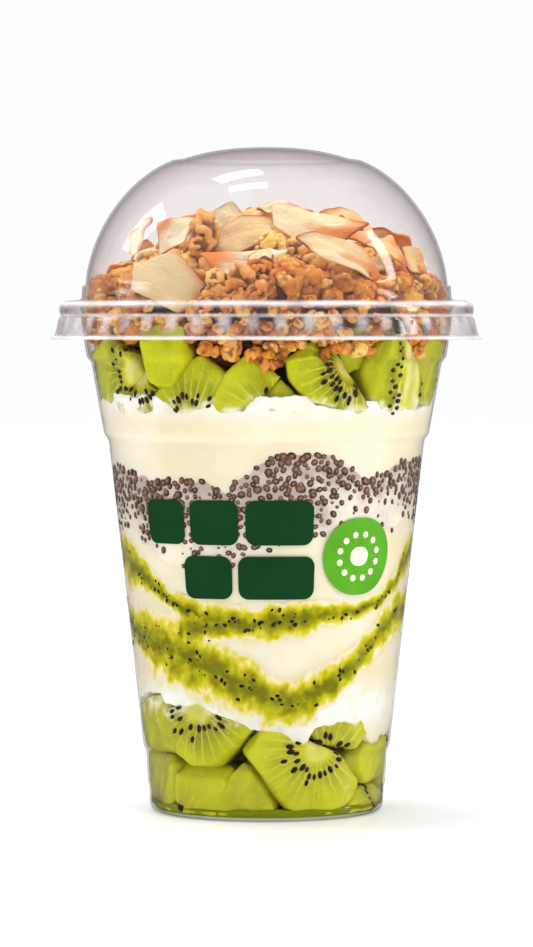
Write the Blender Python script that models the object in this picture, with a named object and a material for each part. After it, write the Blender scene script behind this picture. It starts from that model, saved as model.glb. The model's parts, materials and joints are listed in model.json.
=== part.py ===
"""Yogurt parfait with kiwi in a clear 16 oz cup under a dome lid, standing on its foot ring.

Metres, +Z up. The origin is the middle of the foot ring, on the surface it stands on, and -Y is the
side that faces the viewer. An azimuth is counted in degrees from -Y, positive towards +X.
"""

import math
from collections import namedtuple

import bmesh
import bpy
from mathutils import Euler, Matrix, Vector
from mathutils.bvhtree import BVHTree

MM = 0.001
SEGMENTS = 28          # facets round the cup, the lid and every layer
CLEARANCE = 0.3 * MM   # between pieces that touch
LID_WALL = 0.45 * MM

# Outside of the cup, as radius and height in millimetres: floor, foot ring, two low stacking steps,
# the long tapered body, the middle step, the tapered shoulder, the upper step and the neck.
CUP_OUTSIDE = [(0, 1.0), (23.6, 1.0), (24.4, 0), (26.4, 0), (27.5, 0.7), (27.85, 1.9), (28.05, 6.0),
               (28.35, 6.5), (28.8, 14.4), (29.5, 15.7), (37.6, 88.5), (38.7, 90.0), (41.7, 106.9),
               (42.8, 108.2), (43.3, 111.2), (44.2, 117.9)]
RIM_BEAD = [(45.6, 117.7), (47.6, 118.1), (48.2, 119.3), (47.7, 120.4), (46.2, 120.8), (44.7, 120.3)]
CUP_INSIDE = [(43.75, 118.3), (42.8, 111.3), (42.3, 108.4), (41.2, 107.1), (38.2, 90.2), (37.1, 88.7),
              (29.0, 15.9), (28.3, 14.6), (27.35, 2.0), (26.5, 0.8), (24.4, 0.7), (23.6, 1.6), (0, 1.6)]
BODY_INSIDE_ABOVE = 27.3          # every inside point with a larger radius is on the cup's wall
LOW_KIWI_WALL = ((27.35, 2.0), (28.3, 14.6))     # the stretch of wall that each layer of chunks meets
HIGH_KIWI_WALL = ((38.2, 90.2), (41.2, 107.1))

# The dome is part of an ellipse that stands on a collar, with a shallow crown inside a moulded ring.
DOME_RADIUS = 43.3
DOME_RISE = 39.5
DOME_FOOT = 122.0       # height of the ellipse's middle
DOME_START = 125.3      # height where the dome leaves the collar
CROWN_RADIUS = 20.5
CROWN_TOP = 158.0
CROWN_EDGE = 155.6      # height of the moulded ring
DOME_STEPS = 7
FLANGE_OUTSIDE = [(43.9, 125.0), (44.1, 121.8), (47.7, 121.6), (48.9, 121.1), (49.35, 120.1),
                  (49.3, 118.7), (48.95, 118.0), (49.5, 117.2), (50.4, 113.4), (51.3, 112.9)]
FLANGE_INSIDE = [(51.2, 112.45), (49.95, 112.95), (49.05, 117.0), (48.5, 118.0), (48.85, 118.9),
                 (48.85, 120.0), (48.5, 120.75), (47.5, 121.15), (43.75, 121.35), (43.45, 124.7)]

# Where each layer's edge runs round the wall: azimuth in degrees, height in millimetres.
CHIA_TOP = [(-73, 83), (-60, 81.6), (-45, 80), (-25, 79.9), (-15, 77.8), (-8, 81.5), (1, 85.4), (12, 86.5),
            (22, 86), (31, 83.2), (40, 80), (48, 81.7), (60, 84), (80, 84.5), (110, 80), (140, 83),
            (170, 79), (200, 81), (235, 84), (265, 82)]
CHIA_BOTTOM = [(-73, 66.5), (-66, 68.2), (-57, 64.6), (-40, 59.6), (-16, 59.5), (-2, 62.5), (6, 65),
               (21, 67.5), (35, 70), (57, 67.7), (70, 70.3), (90, 68), (120, 62), (150, 66), (180, 60),
               (210, 64), (240, 68), (265, 64)]

CHIA_MEAN_TOP = 82.0       # heights at the axis
CHIA_MEAN_BOTTOM = 65.0
YOGURT_FOOT = 17.5
YOGURT_TOP = 100.5
BEND_IN_YOGURT = (88.6, 90.3)      # heights of the cup's middle step

# A streak of puree on the wall: azimuth, height of its middle and its breadth, in degrees and millimetres.
LOW_STREAK = [(-65, 44, 5), (-54, 40.7, 6.5), (-42, 39.2, 7.3), (-24, 35.5, 6.4), (-7, 31, 6.4), (8, 27.6, 6),
              (16, 28.2, 5.5), (25, 30.2, 5), (32, 33.5, 4.6), (39, 37.4, 4.8), (48, 40.9, 5.4),
              (58, 45.3, 6), (66, 48.2, 6), (95, 49, 5), (120, 45, 6), (150, 37, 7), (180, 33, 6),
              (210, 38, 6), (240, 47, 5), (270, 49, 4.5)]
HIGH_STREAK = [(-73, 60, 6), (-62, 58, 6.3), (-50, 56.4, 5.4), (-41, 53.2, 2.6), (-34, 50.6, 2.4),
               (-25, 48.2, 4.6), (-15, 46.6, 5.2), (0, 47.1, 5.2), (16, 48.4, 4.4), (28, 49, 2.4),
               (44, 51, 2.4), (54, 55.2, 3.4), (64, 60, 4.6), (75, 63, 4.6), (100, 60, 4), (130, 55, 5),
               (160, 52, 4), (190, 52, 5), (220, 56, 5), (250, 61, 4), (270, 61.5, 5)]
LINK_STREAK = [(-37, 43.9, 2.6), (-31, 44.2, 2.4), (-26, 44.6, 1.8)]
STREAK_DEPTH = 4.0
ROOM_FOR_STREAK = 0.35

# A chunk of kiwi grows from its heart until it meets its neighbours. Hearts are given by azimuth, radius
# and height; low and high are the heights of its lower and upper cut, and lean tilts those two round
# the wall, in degrees.
Chunk = namedtuple("Chunk", "azimuth radius height low high lean")
FLOOR = 1.9
LOW_KIWI = [
    Chunk(-72, 19, 7, FLOOR, 16, 0), Chunk(-38, 19, 6, FLOOR, 16, 0), Chunk(-9, 20, 5, FLOOR, 16, 0),
    Chunk(22, 19, 12, FLOOR, 20.5, -12), Chunk(60, 20, 4.5, FLOOR, 16, 0), Chunk(103, 19, 7, FLOOR, 18, 0),
    Chunk(145, 19, 6, FLOOR, 18, 0), Chunk(187, 19, 7, FLOOR, 18, 0), Chunk(236, 19, 6, FLOOR, 18, 0),
    Chunk(-70, 20, 22, 12, 29.5, -8), Chunk(-31, 19, 21, 10, 23.5, -14), Chunk(39, 20, 25, 16, 23.6, 14),
    Chunk(73, 20, 17, 12, 26, 8), Chunk(118, 19, 21, 12, 26, 8), Chunk(166, 19, 20, 12, 24, -8),
    Chunk(214, 19, 21, 12, 27, 6), Chunk(252, 19, 21, 12, 25, -6), Chunk(10, 0, 12, FLOOR, 20, 0),
]
HIGH_KIWI = [
    Chunk(-66, 32, 107, 98, 117.5, 4), Chunk(-42, 31, 111, 98, 117.5, -6), Chunk(-48, 33, 99.5, 96.5, 117, 8),
    Chunk(-25, 31, 102.5, 94.6, 112.5, -8), Chunk(-6, 32, 102.5, 94.8, 112.4, -10),
    Chunk(7, 32, 98.4, 96.2, 107.9, 4), Chunk(20, 31, 105, 95.2, 114.5, -6), Chunk(36, 31, 112, 98, 118, 6),
    Chunk(49, 31, 104, 95.6, 117.5, 5), Chunk(73, 31, 107, 98.5, 117.5, -4), Chunk(-16, 24, 114, 98, 116, 0),
    Chunk(104, 31, 106, 96.5, 117, 6), Chunk(136, 31, 105, 97, 116, -6), Chunk(168, 31, 106, 96, 117, 5),
    Chunk(200, 31, 105, 97.5, 116, -5), Chunk(232, 31, 106, 96.5, 117, 6), Chunk(264, 31, 105, 97, 116.5, -5),
]
HIGH_KIWI_REACH = 13   # how near the axis the upper chunks come

# Granola fills the space between the kiwi and the dome, up to a low uneven mound.
MOUND_TOP = 138.5
MOUND_EDGE = 126.0
GRANOLA_FOOT = 105.5
BEND_IN_GRANOLA = (118.0, 122.5)   # heights where the granola leaves the cup and meets the dome
UNDER_CHIP = 1.4                   # how far the mound stays below a chip

# Toasted coconut chips: middle in millimetres, length, breadth, sag of the curl, and turn about X, Y and Z
# in degrees. A chip is made lying flat with its length along X.
Chip = namedtuple("Chip", "middle length breadth sag turn")
CHIP_THICKNESS = 0.9   # in millimetres
CHIPS = [
    Chip((-20.4, -29.6, 130.9), 14.5, 9.5, 1.4, (56, 24, -22)),
    Chip((-7.6, -23.5, 138.0), 17.5, 9.0, 1.6, (48, -24, -6)),
    Chip((-5.5, -31.0, 132.6), 18.0, 6.5, -2.2, (40, -4, 4)),
    Chip((-9.5, -9.0, 140.6), 13.0, 9.0, 1.2, (66, -12, 8)),
    Chip((-23.0, -19.0, 137.0), 12.0, 10.0, 1.5, (62, -38, -20)),
    Chip((-30.5, -9.0, 136.3), 11.0, 6.0, 1.0, (50, -60, -30)),
    Chip((11.6, -17.5, 139.2), 23.5, 9.5, -3.0, (34, 12, 2)),
    Chip((29.0, -20.0, 133.8), 12.0, 7.5, 1.4, (34, 28, 26)),
    Chip((17.5, -31.5, 132.5), 20.0, 7.0, 1.8, (46, 22, 14)),
    Chip((19.5, -4.5, 139.6), 15.0, 9.0, 1.2, (52, 22, 10)),
    Chip((36.0, -9.5, 131.5), 13.0, 10.0, 1.4, (70, 12, 62)),
    Chip((30.0, 9.0, 136.5), 15.0, 8.0, 1.4, (-28, 24, -10)),
    Chip((6.0, 15.0, 141.0), 18.0, 9.5, 1.8, (-32, 10, 6)),
    Chip((-19.0, 15.0, 139.5), 16.0, 9.0, 1.6, (-36, -22, 12)),
    Chip((-8.0, 30.2, 134.2), 16.0, 7.0, 1.4, (-46, -8, -6)),
]


def clear_scene():
    for thing in list(bpy.data.objects):
        bpy.data.objects.remove(thing)


def material(name, colour, roughness, alpha=1.0):
    """A Principled material. Every finish here is a non-metal."""
    made = bpy.data.materials.new(name)
    made.use_nodes = True
    shader = made.node_tree.nodes["Principled BSDF"]
    shader.inputs["Base Color"].default_value = (*colour, 1.0)
    shader.inputs["Roughness"].default_value = roughness
    shader.inputs["Metallic"].default_value = 0.0
    shader.inputs["Alpha"].default_value = alpha
    return made


def finish_object(name, mesh, finish, smooth_below=None):
    """Puts a mesh in the scene as a node, with its material and its shading."""
    mesh.materials.append(finish)
    if smooth_below is not None:
        mesh.shade_smooth()
        mesh.set_sharp_from_angle(angle=math.radians(smooth_below))
    thing = bpy.data.objects.new(name, mesh)
    bpy.context.scene.collection.objects.link(thing)
    return thing


def mesh_from(name, bm):
    """Turns an edited mesh into a stored one, with its faces pointing out."""
    bmesh.ops.recalc_face_normals(bm, faces=bm.faces[:])
    mesh = bpy.data.meshes.new(name)
    bm.to_mesh(mesh)
    bm.free()
    return mesh


def on_wall(azimuth, radius, height):
    """The point at an azimuth in degrees, with the radius and height in millimetres."""
    angle = math.radians(azimuth)
    return Vector((radius * math.sin(angle), -radius * math.cos(angle), height)) * MM


def facet_azimuths():
    return [360.0 * i / SEGMENTS for i in range(SEGMENTS)]


def bridge_rings(bm, rings):
    """Joins neighbouring rings of points with faces. A ring of one point is a pole."""
    for lower, upper in zip(rings, rings[1:]):
        for i in range(SEGMENTS):
            j = (i + 1) % SEGMENTS
            corners = [lower[i % len(lower)], lower[j % len(lower)], upper[j % len(upper)], upper[i % len(upper)]]
            bm.faces.new(dict.fromkeys(corners))


def turned(name, profile, finish):
    """A solid turned about Z. The profile, in millimetres, starts and ends on the axis."""
    bm = bmesh.new()
    rings = []
    for radius, height in profile:
        around = facet_azimuths() if radius > 0 else [0]
        rings.append([bm.verts.new(on_wall(azimuth, radius, height)) for azimuth in around])
    bridge_rings(bm, rings)
    return finish_object(name, mesh_from(name, bm), finish, smooth_below=40)


def interpolate(points, height):
    """The radius of an outline of (radius, height) points at a height."""
    ordered = sorted(points, key=lambda point: point[1])
    for (r0, z0), (r1, z1) in zip(ordered, ordered[1:]):
        if z0 <= height <= z1 and z1 > z0:
            return r0 + (r1 - r0) * (height - z0) / (z1 - z0)
    return ordered[-1][0] if height > ordered[-1][1] else ordered[0][0]


def cup_inner_radius(height):
    return interpolate([point for point in CUP_INSIDE if point[0] > BODY_INSIDE_ABOVE], height)


def dome_outer_radius(height):
    share = min(1.0, (height - DOME_FOOT) / DOME_RISE)
    return DOME_RADIUS * math.sqrt(1 - share * share)


def curve_round_wall(points):
    """A smooth closed curve round the wall through (azimuth, value...) points, as a function of azimuth."""
    ordered = sorted(points)
    closed = ordered + [(ordered[0][0] + 360, *ordered[0][1:])]

    def value(azimuth):
        at = ordered[0][0] + (azimuth - ordered[0][0]) % 360
        for before, after in zip(closed, closed[1:]):
            if before[0] <= at <= after[0]:
                t = (at - before[0]) / (after[0] - before[0])
                ease = t * t * (3 - 2 * t)
                return [a + (b - a) * ease for a, b in zip(before[1:], after[1:])]
        return list(ordered[0][1:])

    return value


def layer(name, bottom, top, radius_at, finish, steps=(), rings=(0.5, 0.85)):
    """A layer of food that fills the cup. bottom and top give a height from azimuth and share of the
    radius, steps are the heights between them where the side bends, and rings divide each face."""
    bm = bmesh.new()

    def ring(share, height_at):
        made = []
        for azimuth in facet_azimuths():
            height = height_at(azimuth, share)
            made.append(bm.verts.new(on_wall(azimuth, radius_at(height) * share, height)))
        return made

    loops = [[bm.verts.new(on_wall(0, 0, bottom(0, 0)))]]
    loops += [ring(share, bottom) for share in (*rings, 1.0)]
    loops += [ring(1.0, lambda azimuth, share, z=z: z) for z in steps]
    loops += [ring(share, top) for share in (1.0, *reversed(rings))]
    loops.append([bm.verts.new(on_wall(0, 0, top(0, 0)))])
    bridge_rings(bm, loops)
    return finish_object(name, mesh_from(name, bm), finish, smooth_below=35)


def settle(curve, mean):
    """A wavy face that follows a wall curve at the wall and flattens to the mean at the axis."""
    return lambda azimuth, share: mean + (curve(azimuth)[0] - mean) * share * share


def bisect(bm, point, normal):
    """Cuts away what lies past a plane and closes the cut."""
    cut = bmesh.ops.bisect_plane(bm, geom=bm.verts[:] + bm.edges[:] + bm.faces[:], plane_co=point,
                                 plane_no=normal, dist=1e-7, clear_outer=True)
    edges = [part for part in cut["geom_cut"] if isinstance(part, bmesh.types.BMEdge)]
    if edges:
        bmesh.ops.edgeloop_fill(bm, edges=edges)


def wall_planes(foot, head, gap):
    """The inside of the cup between two (radius, height) points, as one plane for each facet."""
    slope = math.atan2(head[0] - foot[0], head[1] - foot[1])
    for azimuth in facet_azimuths():
        middle = azimuth + 180.0 / SEGMENTS
        out = on_wall(middle, 1, 0).normalized()
        normal = out * math.cos(slope) - Vector((0, 0, math.sin(slope)))
        point = on_wall(middle, foot[0] * math.cos(math.pi / SEGMENTS), foot[1]) - normal * gap
        yield point, normal


def chunk_shape(chunk, others, wall, reach, grow=0.0):
    """The block that a chunk fills: nearer to its own heart than to any other, between its two cuts,
    inside the wall, and no nearer the axis than its reach. With grow it becomes a cutter, larger all
    round and open to the wall."""
    heart = on_wall(chunk.azimuth, chunk.radius, chunk.height)
    bm = bmesh.new()
    bmesh.ops.create_cube(bm, size=90 * MM, matrix=Matrix.Translation(heart))
    for other in others:
        if other is chunk:
            continue
        away = on_wall(other.azimuth, other.radius, other.height) - heart
        normal = away.normalized()
        bisect(bm, heart + away / 2 + normal * (grow - CLEARANCE), normal)
    upward = Matrix.Rotation(math.radians(chunk.lean), 3, on_wall(chunk.azimuth, 1, 0)) @ Vector((0, 0, 1))
    downward = -Vector((0, 0, 1)) if chunk.low == FLOOR else -upward
    at_wall = on_wall(chunk.azimuth, chunk.radius + 8, 0)
    bisect(bm, at_wall + Vector((0, 0, chunk.high * MM + grow)), upward)
    bisect(bm, at_wall + Vector((0, 0, chunk.low * MM - grow)), downward)
    if reach:
        inward = -on_wall(chunk.azimuth, 1, 0).normalized()
        bisect(bm, on_wall(chunk.azimuth, reach, chunk.height) + inward * grow, inward)
    if not grow:
        for point, normal in wall:
            bisect(bm, point, normal)
    return bm


def kiwi_layer(prefix, chunks, wall, reach, finish):
    """The chunks of one layer, and the hidden cutters that make room for them in their neighbours."""
    planes = list(wall_planes(*wall, CLEARANCE))
    made, cutters = [], []
    for number, chunk in enumerate(chunks, 1):
        name = f"{prefix}_{number:02d}"
        made.append(finish_object(name, mesh_from(name, chunk_shape(chunk, chunks, planes, reach)), finish))
        cutter_name = f"room_for_{name}"
        shape = chunk_shape(chunk, chunks, planes, reach, grow=2 * CLEARANCE)
        cutters.append(hidden(finish_object(cutter_name, mesh_from(cutter_name, shape), finish)))
    return made, cutters


def hidden(thing):
    """Marks a cutter, which isn't part of the object."""
    thing.hide_render = True
    thing.display_type = "WIRE"
    return thing


def cut_with(thing, cutters):
    for cutter in cutters:
        cut = thing.modifiers.new(cutter.name, "BOOLEAN")
        cut.operation = "DIFFERENCE"
        cut.object = cutter


def streak(name, points, finish, closed, grow=0.0):
    """A streak of puree pressed against the wall. Its section is flat at the wall and rounded behind."""
    curve = curve_round_wall(points)
    first, last = min(points)[0], max(points)[0]
    span = 360.0 if closed else last - first
    count = 42 if closed else 4
    at_wall = 0.6 if grow else -0.3
    bm = bmesh.new()
    sections = []
    for i in range(count if closed else count + 1):
        azimuth = first + span * i / count
        height, breadth = curve(azimuth)
        half = breadth / 2 + grow
        outline = [(at_wall, -half), (-0.6 * STREAK_DEPTH - grow, -0.75 * half), (-STREAK_DEPTH - grow, 0),
                   (-0.6 * STREAK_DEPTH - grow, 0.75 * half), (at_wall, half)]
        section = []
        for depth, rise in outline:
            radius = cup_inner_radius(height + rise) + depth
            section.append(bm.verts.new(on_wall(azimuth, radius, height + rise)))
        sections.append(section)
    for before, after in zip(sections, sections[1:] + (sections[:1] if closed else [])):
        for i in range(5):
            j = (i + 1) % 5
            bm.faces.new((before[i], before[j], after[j], after[i]))
    if not closed:
        bm.faces.new(sections[0])
        bm.faces.new(sections[-1])
    return finish_object(name, mesh_from(name, bm), finish, smooth_below=50)


def coconut_chip(name, chip, finish, grow=0.0):
    """A thin curled flake, pointed towards both ends, with a little twist. With grow, in millimetres, it
    is larger all round."""
    along, across = 5, 2
    thick = CHIP_THICKNESS / 2 + grow
    bm = bmesh.new()
    rings = []
    for i in range(along + 1):
        t = 2 * i / along - 1
        half = chip.breadth / 2 * math.sqrt(max(0.0, 1 - (0.94 * t) ** 2)) * (1 - 0.12 * t) + grow
        bend = -chip.sag * t * t
        edge = []
        for side in (1, -1):
            for j in range(across + 1):
                s = side * (2 * j / across - 1)
                cup = -0.12 * chip.breadth * s * s / 2 + 0.05 * chip.breadth * s * t
                edge.append(((chip.length / 2 + grow) * t, half * s, bend + cup + side * thick))
        rings.append([bm.verts.new(Vector(point) * MM) for point in edge])
    around = len(rings[0])
    for before, after in zip(rings, rings[1:]):
        for i in range(around):
            j = (i + 1) % around
            bm.faces.new((before[i], before[j], after[j], after[i]))
    for end in (rings[0], rings[-1]):
        for j in range(across):
            bm.faces.new((end[j], end[j + 1], end[around - 2 - j], end[around - 1 - j]))
    turn = Euler([math.radians(a) for a in chip.turn]).to_matrix().to_4x4()
    bmesh.ops.transform(bm, matrix=Matrix.Translation(Vector(chip.middle) * MM) @ turn, verts=bm.verts[:])
    return finish_object(name, mesh_from(name, bm), finish, smooth_below=50)


def mound_height(azimuth, share):
    """The granola's outline before the chips press into it: a low mound with a lumpy surface."""
    angle = math.radians(azimuth)
    swell = math.cos(share * math.pi / 2)
    lumps = math.sin(3 * angle + 0.7) * math.sin(5.3 * share + 1) + 0.8 * math.cos(5 * angle - 4 * share)
    return MOUND_EDGE + (MOUND_TOP - MOUND_EDGE) * swell + 0.9 * lumps * share


def granola_radius(height):
    """The granola keeps clear of the cup, the collar and the dome."""
    inside_cup = cup_inner_radius(min(height, 118.0)) - 0.4
    inside_dome = dome_outer_radius(max(height, DOME_FOOT)) - 1.1
    return min(inside_cup, inside_dome, 42.4)


def under_the_chips(chips):
    """The mound's height, lowered wherever a chip lies on it."""
    trees = [BVHTree.FromPolygons([v.co for v in chip.data.vertices], [p.vertices for p in chip.data.polygons])
             for chip in chips]

    def height(azimuth, share):
        lowest = mound_height(azimuth, share)
        for around in range(8):
            for reach in (0, 2.5, 5):
                spot = on_wall(azimuth, granola_radius(lowest) * share, 0) + on_wall(45 * around, reach, 0)
                start = Vector((spot.x, spot.y, 90 * MM))
                for tree in trees:
                    hit = tree.ray_cast(start, Vector((0, 0, 1)))[0]
                    if hit is not None:
                        lowest = min(lowest, hit.z / MM - UNDER_CHIP)
        return lowest

    return height


def build():
    clear_scene()
    clear_plastic = material("clear_plastic", (0.86, 0.88, 0.9), 0.08, alpha=0.3)
    kiwi = material("kiwi_flesh", (0.42, 0.55, 0.05), 0.3)
    yogurt = material("yogurt", (0.93, 0.86, 0.68), 0.35)
    chia = material("chia_yogurt", (0.3, 0.24, 0.22), 0.4)
    puree = material("kiwi_puree", (0.5, 0.52, 0.04), 0.25)
    toasted = material("granola", (0.6, 0.3, 0.09), 0.55)
    coconut = material("coconut", (0.86, 0.6, 0.28), 0.5)

    dome = []
    top_share = math.acos(CROWN_RADIUS / DOME_RADIUS)
    low_share = math.asin((DOME_START - DOME_FOOT) / DOME_RISE)
    for i in range(DOME_STEPS + 1):
        share = top_share + (low_share - top_share) * i / DOME_STEPS
        dome.append((DOME_RADIUS * math.cos(share), DOME_FOOT + DOME_RISE * math.sin(share)))
    ring_drop = dome[0][1] - CROWN_EDGE
    dome[0] = (CROWN_RADIUS, CROWN_EDGE)
    dome[1] = (dome[1][0], dome[1][1] - 0.25 * ring_drop)
    crown = [(0, CROWN_TOP), (CROWN_RADIUS / 2, CROWN_TOP - 0.25 * (CROWN_TOP - CROWN_EDGE))]
    wall = LID_WALL / MM
    under_crown = [(radius, height - wall) for radius, height in crown]
    under_dome = [(radius - wall * 0.85, height - wall * 0.7) for radius, height in dome]
    turned("dome_lid", [*crown, *dome, *FLANGE_OUTSIDE, *FLANGE_INSIDE, *reversed(under_dome),
                        *reversed(under_crown)], clear_plastic)
    turned("cup", [*CUP_OUTSIDE, *RIM_BEAD, *CUP_INSIDE], clear_plastic)

    _, low_room = kiwi_layer("kiwi_low", LOW_KIWI, LOW_KIWI_WALL, 0, kiwi)
    _, high_room = kiwi_layer("kiwi_high", HIGH_KIWI, HIGH_KIWI_WALL, HIGH_KIWI_REACH, kiwi)

    streaks = [("puree_low", LOW_STREAK, True), ("puree_high", HIGH_STREAK, True),
               ("puree_link", LINK_STREAK, False)]
    streak_room = []
    for name, points, closed in streaks:
        streak(name, points, puree, closed)
        streak_room.append(hidden(streak(f"room_for_{name}", points, puree, closed, grow=ROOM_FOR_STREAK)))

    chia_top = settle(curve_round_wall(CHIA_TOP), CHIA_MEAN_TOP)
    chia_bottom = settle(curve_round_wall(CHIA_BOTTOM), CHIA_MEAN_BOTTOM)
    gap = CLEARANCE / MM

    def beside_wall(height):
        return cup_inner_radius(height) - gap

    layer("chia_layer", chia_bottom, chia_top, beside_wall, chia)
    lower = layer("yogurt_lower", lambda azimuth, share: YOGURT_FOOT,
                  lambda azimuth, share: chia_bottom(azimuth, share) - 2 * gap, beside_wall, yogurt)
    cut_with(lower, low_room + streak_room)
    upper = layer("yogurt_upper", lambda azimuth, share: chia_top(azimuth, share) + 2 * gap,
                  lambda azimuth, share: YOGURT_TOP, beside_wall, yogurt, steps=BEND_IN_YOGURT)
    cut_with(upper, high_room)

    chips = [coconut_chip(f"coconut_chip_{number:02d}", chip, coconut) for number, chip in enumerate(CHIPS, 1)]
    granola = layer("granola", lambda azimuth, share: GRANOLA_FOOT, under_the_chips(chips), granola_radius,
                    toasted, steps=BEND_IN_GRANOLA, rings=(0.25, 0.5, 0.75, 0.92))
    chip_room = [hidden(coconut_chip(f"room_for_chip_{number:02d}", chip, coconut, grow=3 * gap))
                 for number, chip in enumerate(CHIPS, 1)]
    cut_with(granola, high_room + chip_room)


build()
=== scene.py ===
"""The looks of a kiwi, yogurt and granola parfait in a clear lidded cup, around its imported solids.

Everything is in metres in the part's own frame: the cup stands on z = 0 and -Y is its printed front.
Sizes are written in millimetres and turned into metres by MM. An azimuth is in degrees, from -Y
towards +X.
"""

import json
import math
import random

import bmesh
import bpy
import numpy as np
from mathutils import Matrix, Vector, noise
from mathutils.bvhtree import BVHTree

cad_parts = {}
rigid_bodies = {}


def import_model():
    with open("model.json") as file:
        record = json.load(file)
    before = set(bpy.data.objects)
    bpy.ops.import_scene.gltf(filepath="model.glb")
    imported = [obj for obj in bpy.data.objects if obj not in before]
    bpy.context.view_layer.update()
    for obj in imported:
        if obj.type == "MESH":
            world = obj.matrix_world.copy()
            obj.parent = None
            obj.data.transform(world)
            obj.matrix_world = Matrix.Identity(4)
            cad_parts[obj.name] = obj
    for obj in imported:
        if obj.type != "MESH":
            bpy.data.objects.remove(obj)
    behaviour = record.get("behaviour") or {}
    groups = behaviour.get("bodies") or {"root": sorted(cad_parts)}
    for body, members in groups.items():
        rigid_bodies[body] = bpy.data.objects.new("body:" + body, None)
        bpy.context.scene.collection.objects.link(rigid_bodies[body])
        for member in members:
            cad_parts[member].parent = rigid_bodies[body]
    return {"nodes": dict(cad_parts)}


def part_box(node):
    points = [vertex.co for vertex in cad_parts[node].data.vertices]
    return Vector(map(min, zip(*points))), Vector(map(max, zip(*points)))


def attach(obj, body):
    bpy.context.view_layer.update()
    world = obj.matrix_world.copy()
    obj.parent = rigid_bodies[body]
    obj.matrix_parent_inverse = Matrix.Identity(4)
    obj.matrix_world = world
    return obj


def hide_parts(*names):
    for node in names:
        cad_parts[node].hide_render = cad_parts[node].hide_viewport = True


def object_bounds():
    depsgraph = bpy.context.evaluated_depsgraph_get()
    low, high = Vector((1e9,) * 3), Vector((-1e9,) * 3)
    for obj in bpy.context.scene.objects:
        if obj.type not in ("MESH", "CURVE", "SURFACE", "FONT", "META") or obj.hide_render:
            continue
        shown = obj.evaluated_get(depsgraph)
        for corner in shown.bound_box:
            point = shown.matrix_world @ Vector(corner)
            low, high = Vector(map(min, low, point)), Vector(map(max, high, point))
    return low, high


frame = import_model()
cad_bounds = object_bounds()
MM = 0.001

# ---- The table it is shown on -------------------------------------------------------------------
# A plain white sweep in a light tent, dim so that the lamps shape the cup. Two panes overhead, a box at
# the left and a strip at the right draw the white streaks on the plastic. The large lamp overhead and the
# two in front only light the food, and the sweep glows a little, as on a lit table.

FLOOR_WHITE = 0.92


def srgb(red, green, blue):
    """A linear colour from the 0 to 255 values that a colour card gives."""
    steps = [value / 255 for value in (red, green, blue)]
    return [s / 12.92 if s <= 0.04045 else ((s + 0.055) / 1.055) ** 2.4 for s in steps]


def add_node(material, kind, links=(), **settings):
    """Adds a node to a material or a node group. Settings are its properties, or its inputs by name."""
    tree = getattr(material, "node_tree", material)
    made = tree.nodes.new(kind)
    for name, value in settings.items():
        if hasattr(made, name):
            setattr(made, name, value)
        else:
            made.inputs[name.replace("_", " ")].default_value = value
    for socket, source in dict(links).items():
        tree.links.new(source, made.inputs[socket])
    return made


def calc(material, operation, *values):
    """The result of an operation on sockets or numbers."""
    made = add_node(material, "ShaderNodeMath", operation=operation)
    for socket, value in zip(made.inputs, values):
        if isinstance(value, bpy.types.NodeSocket):
            made.id_data.links.new(value, socket)
        else:
            socket.default_value = value
    return made.outputs[0]


def feed(shader, **sources):
    """Links sockets into a shader's inputs, by name."""
    for name, source in sources.items():
        shader.id_data.links.new(source, shader.inputs[name.replace("_", " ")])


def new_material(name):
    """A material with only its output node, and that output."""
    made = bpy.data.materials.new(name)
    made.use_nodes = True
    made.node_tree.nodes.clear()
    return made, made.node_tree.nodes.new("ShaderNodeOutputMaterial")


def principled(name, links=(), **settings):
    """A material with one Principled shader. Its colour is given as three numbers."""
    made, out = new_material(name)
    if "Base_Color" in settings:
        settings["Base_Color"] = (*settings["Base_Color"], 1)
    shader = add_node(made, "ShaderNodeBsdfPrincipled", links, **settings)
    made.node_tree.links.new(shader.outputs[0], out.inputs[0])
    return made, shader


floor_mesh = bpy.data.meshes.new("floor")
bm = bmesh.new()
bmesh.ops.create_circle(bm, cap_ends=True, segments=96, radius=60)
bm.to_mesh(floor_mesh)
bm.free()
floor = bpy.data.objects.new("floor", floor_mesh)
floor.location.z = cad_bounds[0][2] - 0.0001
bpy.context.scene.collection.objects.link(floor)
sweep, shader = principled("white_sweep", Roughness=0.3, Emission_Color=(1, 1, 1, 1))
place = add_node(sweep, "ShaderNodeTexCoord").outputs["Object"]
away = add_node(sweep, "ShaderNodeVectorMath", {0: place}, operation="LENGTH").outputs["Value"]
glow = add_node(sweep, "ShaderNodeMapRange", {0: away}, interpolation_type="SMOOTHSTEP",
                From_Min=0.1, From_Max=1.3, To_Min=0.31, To_Max=0.633)
path = add_node(sweep, "ShaderNodeLightPath")
mirrored = add_node(sweep, "ShaderNodeMapRange", {0: path.outputs["Is Glossy Ray"]}, To_Min=1.0, To_Max=0.15)
sheen = add_node(sweep, "ShaderNodeMapRange", {0: away}, From_Min=0.05, From_Max=0.25, To_Min=0.5, To_Max=0.0)
feed(shader, Emission_Strength=calc(sweep, "MULTIPLY", glow.outputs[0], mirrored.outputs[0]),
     Base_Color=calc(sweep, "MULTIPLY", mirrored.outputs[0], FLOOR_WHITE),
     Specular_IOR_Level=sheen.outputs[0])
floor_mesh.materials.append(sweep)

world = bpy.data.worlds.new("light_tent")
bpy.context.scene.world = world
world.use_nodes = True
tent = world.node_tree.nodes["Background"]
tent.inputs["Color"].default_value = (1, 1, 1, 1)
path = add_node(world, "ShaderNodeLightPath")
mirrored = add_node(world, "ShaderNodeMapRange", {0: path.outputs["Is Glossy Ray"]}, To_Min=0.38, To_Max=0.26)
seen = add_node(world, "ShaderNodeMapRange",
                {0: path.outputs["Is Camera Ray"], "To Min": mirrored.outputs[0]}, To_Max=0.983)
feed(tent, Strength=seen.outputs[0])


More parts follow.
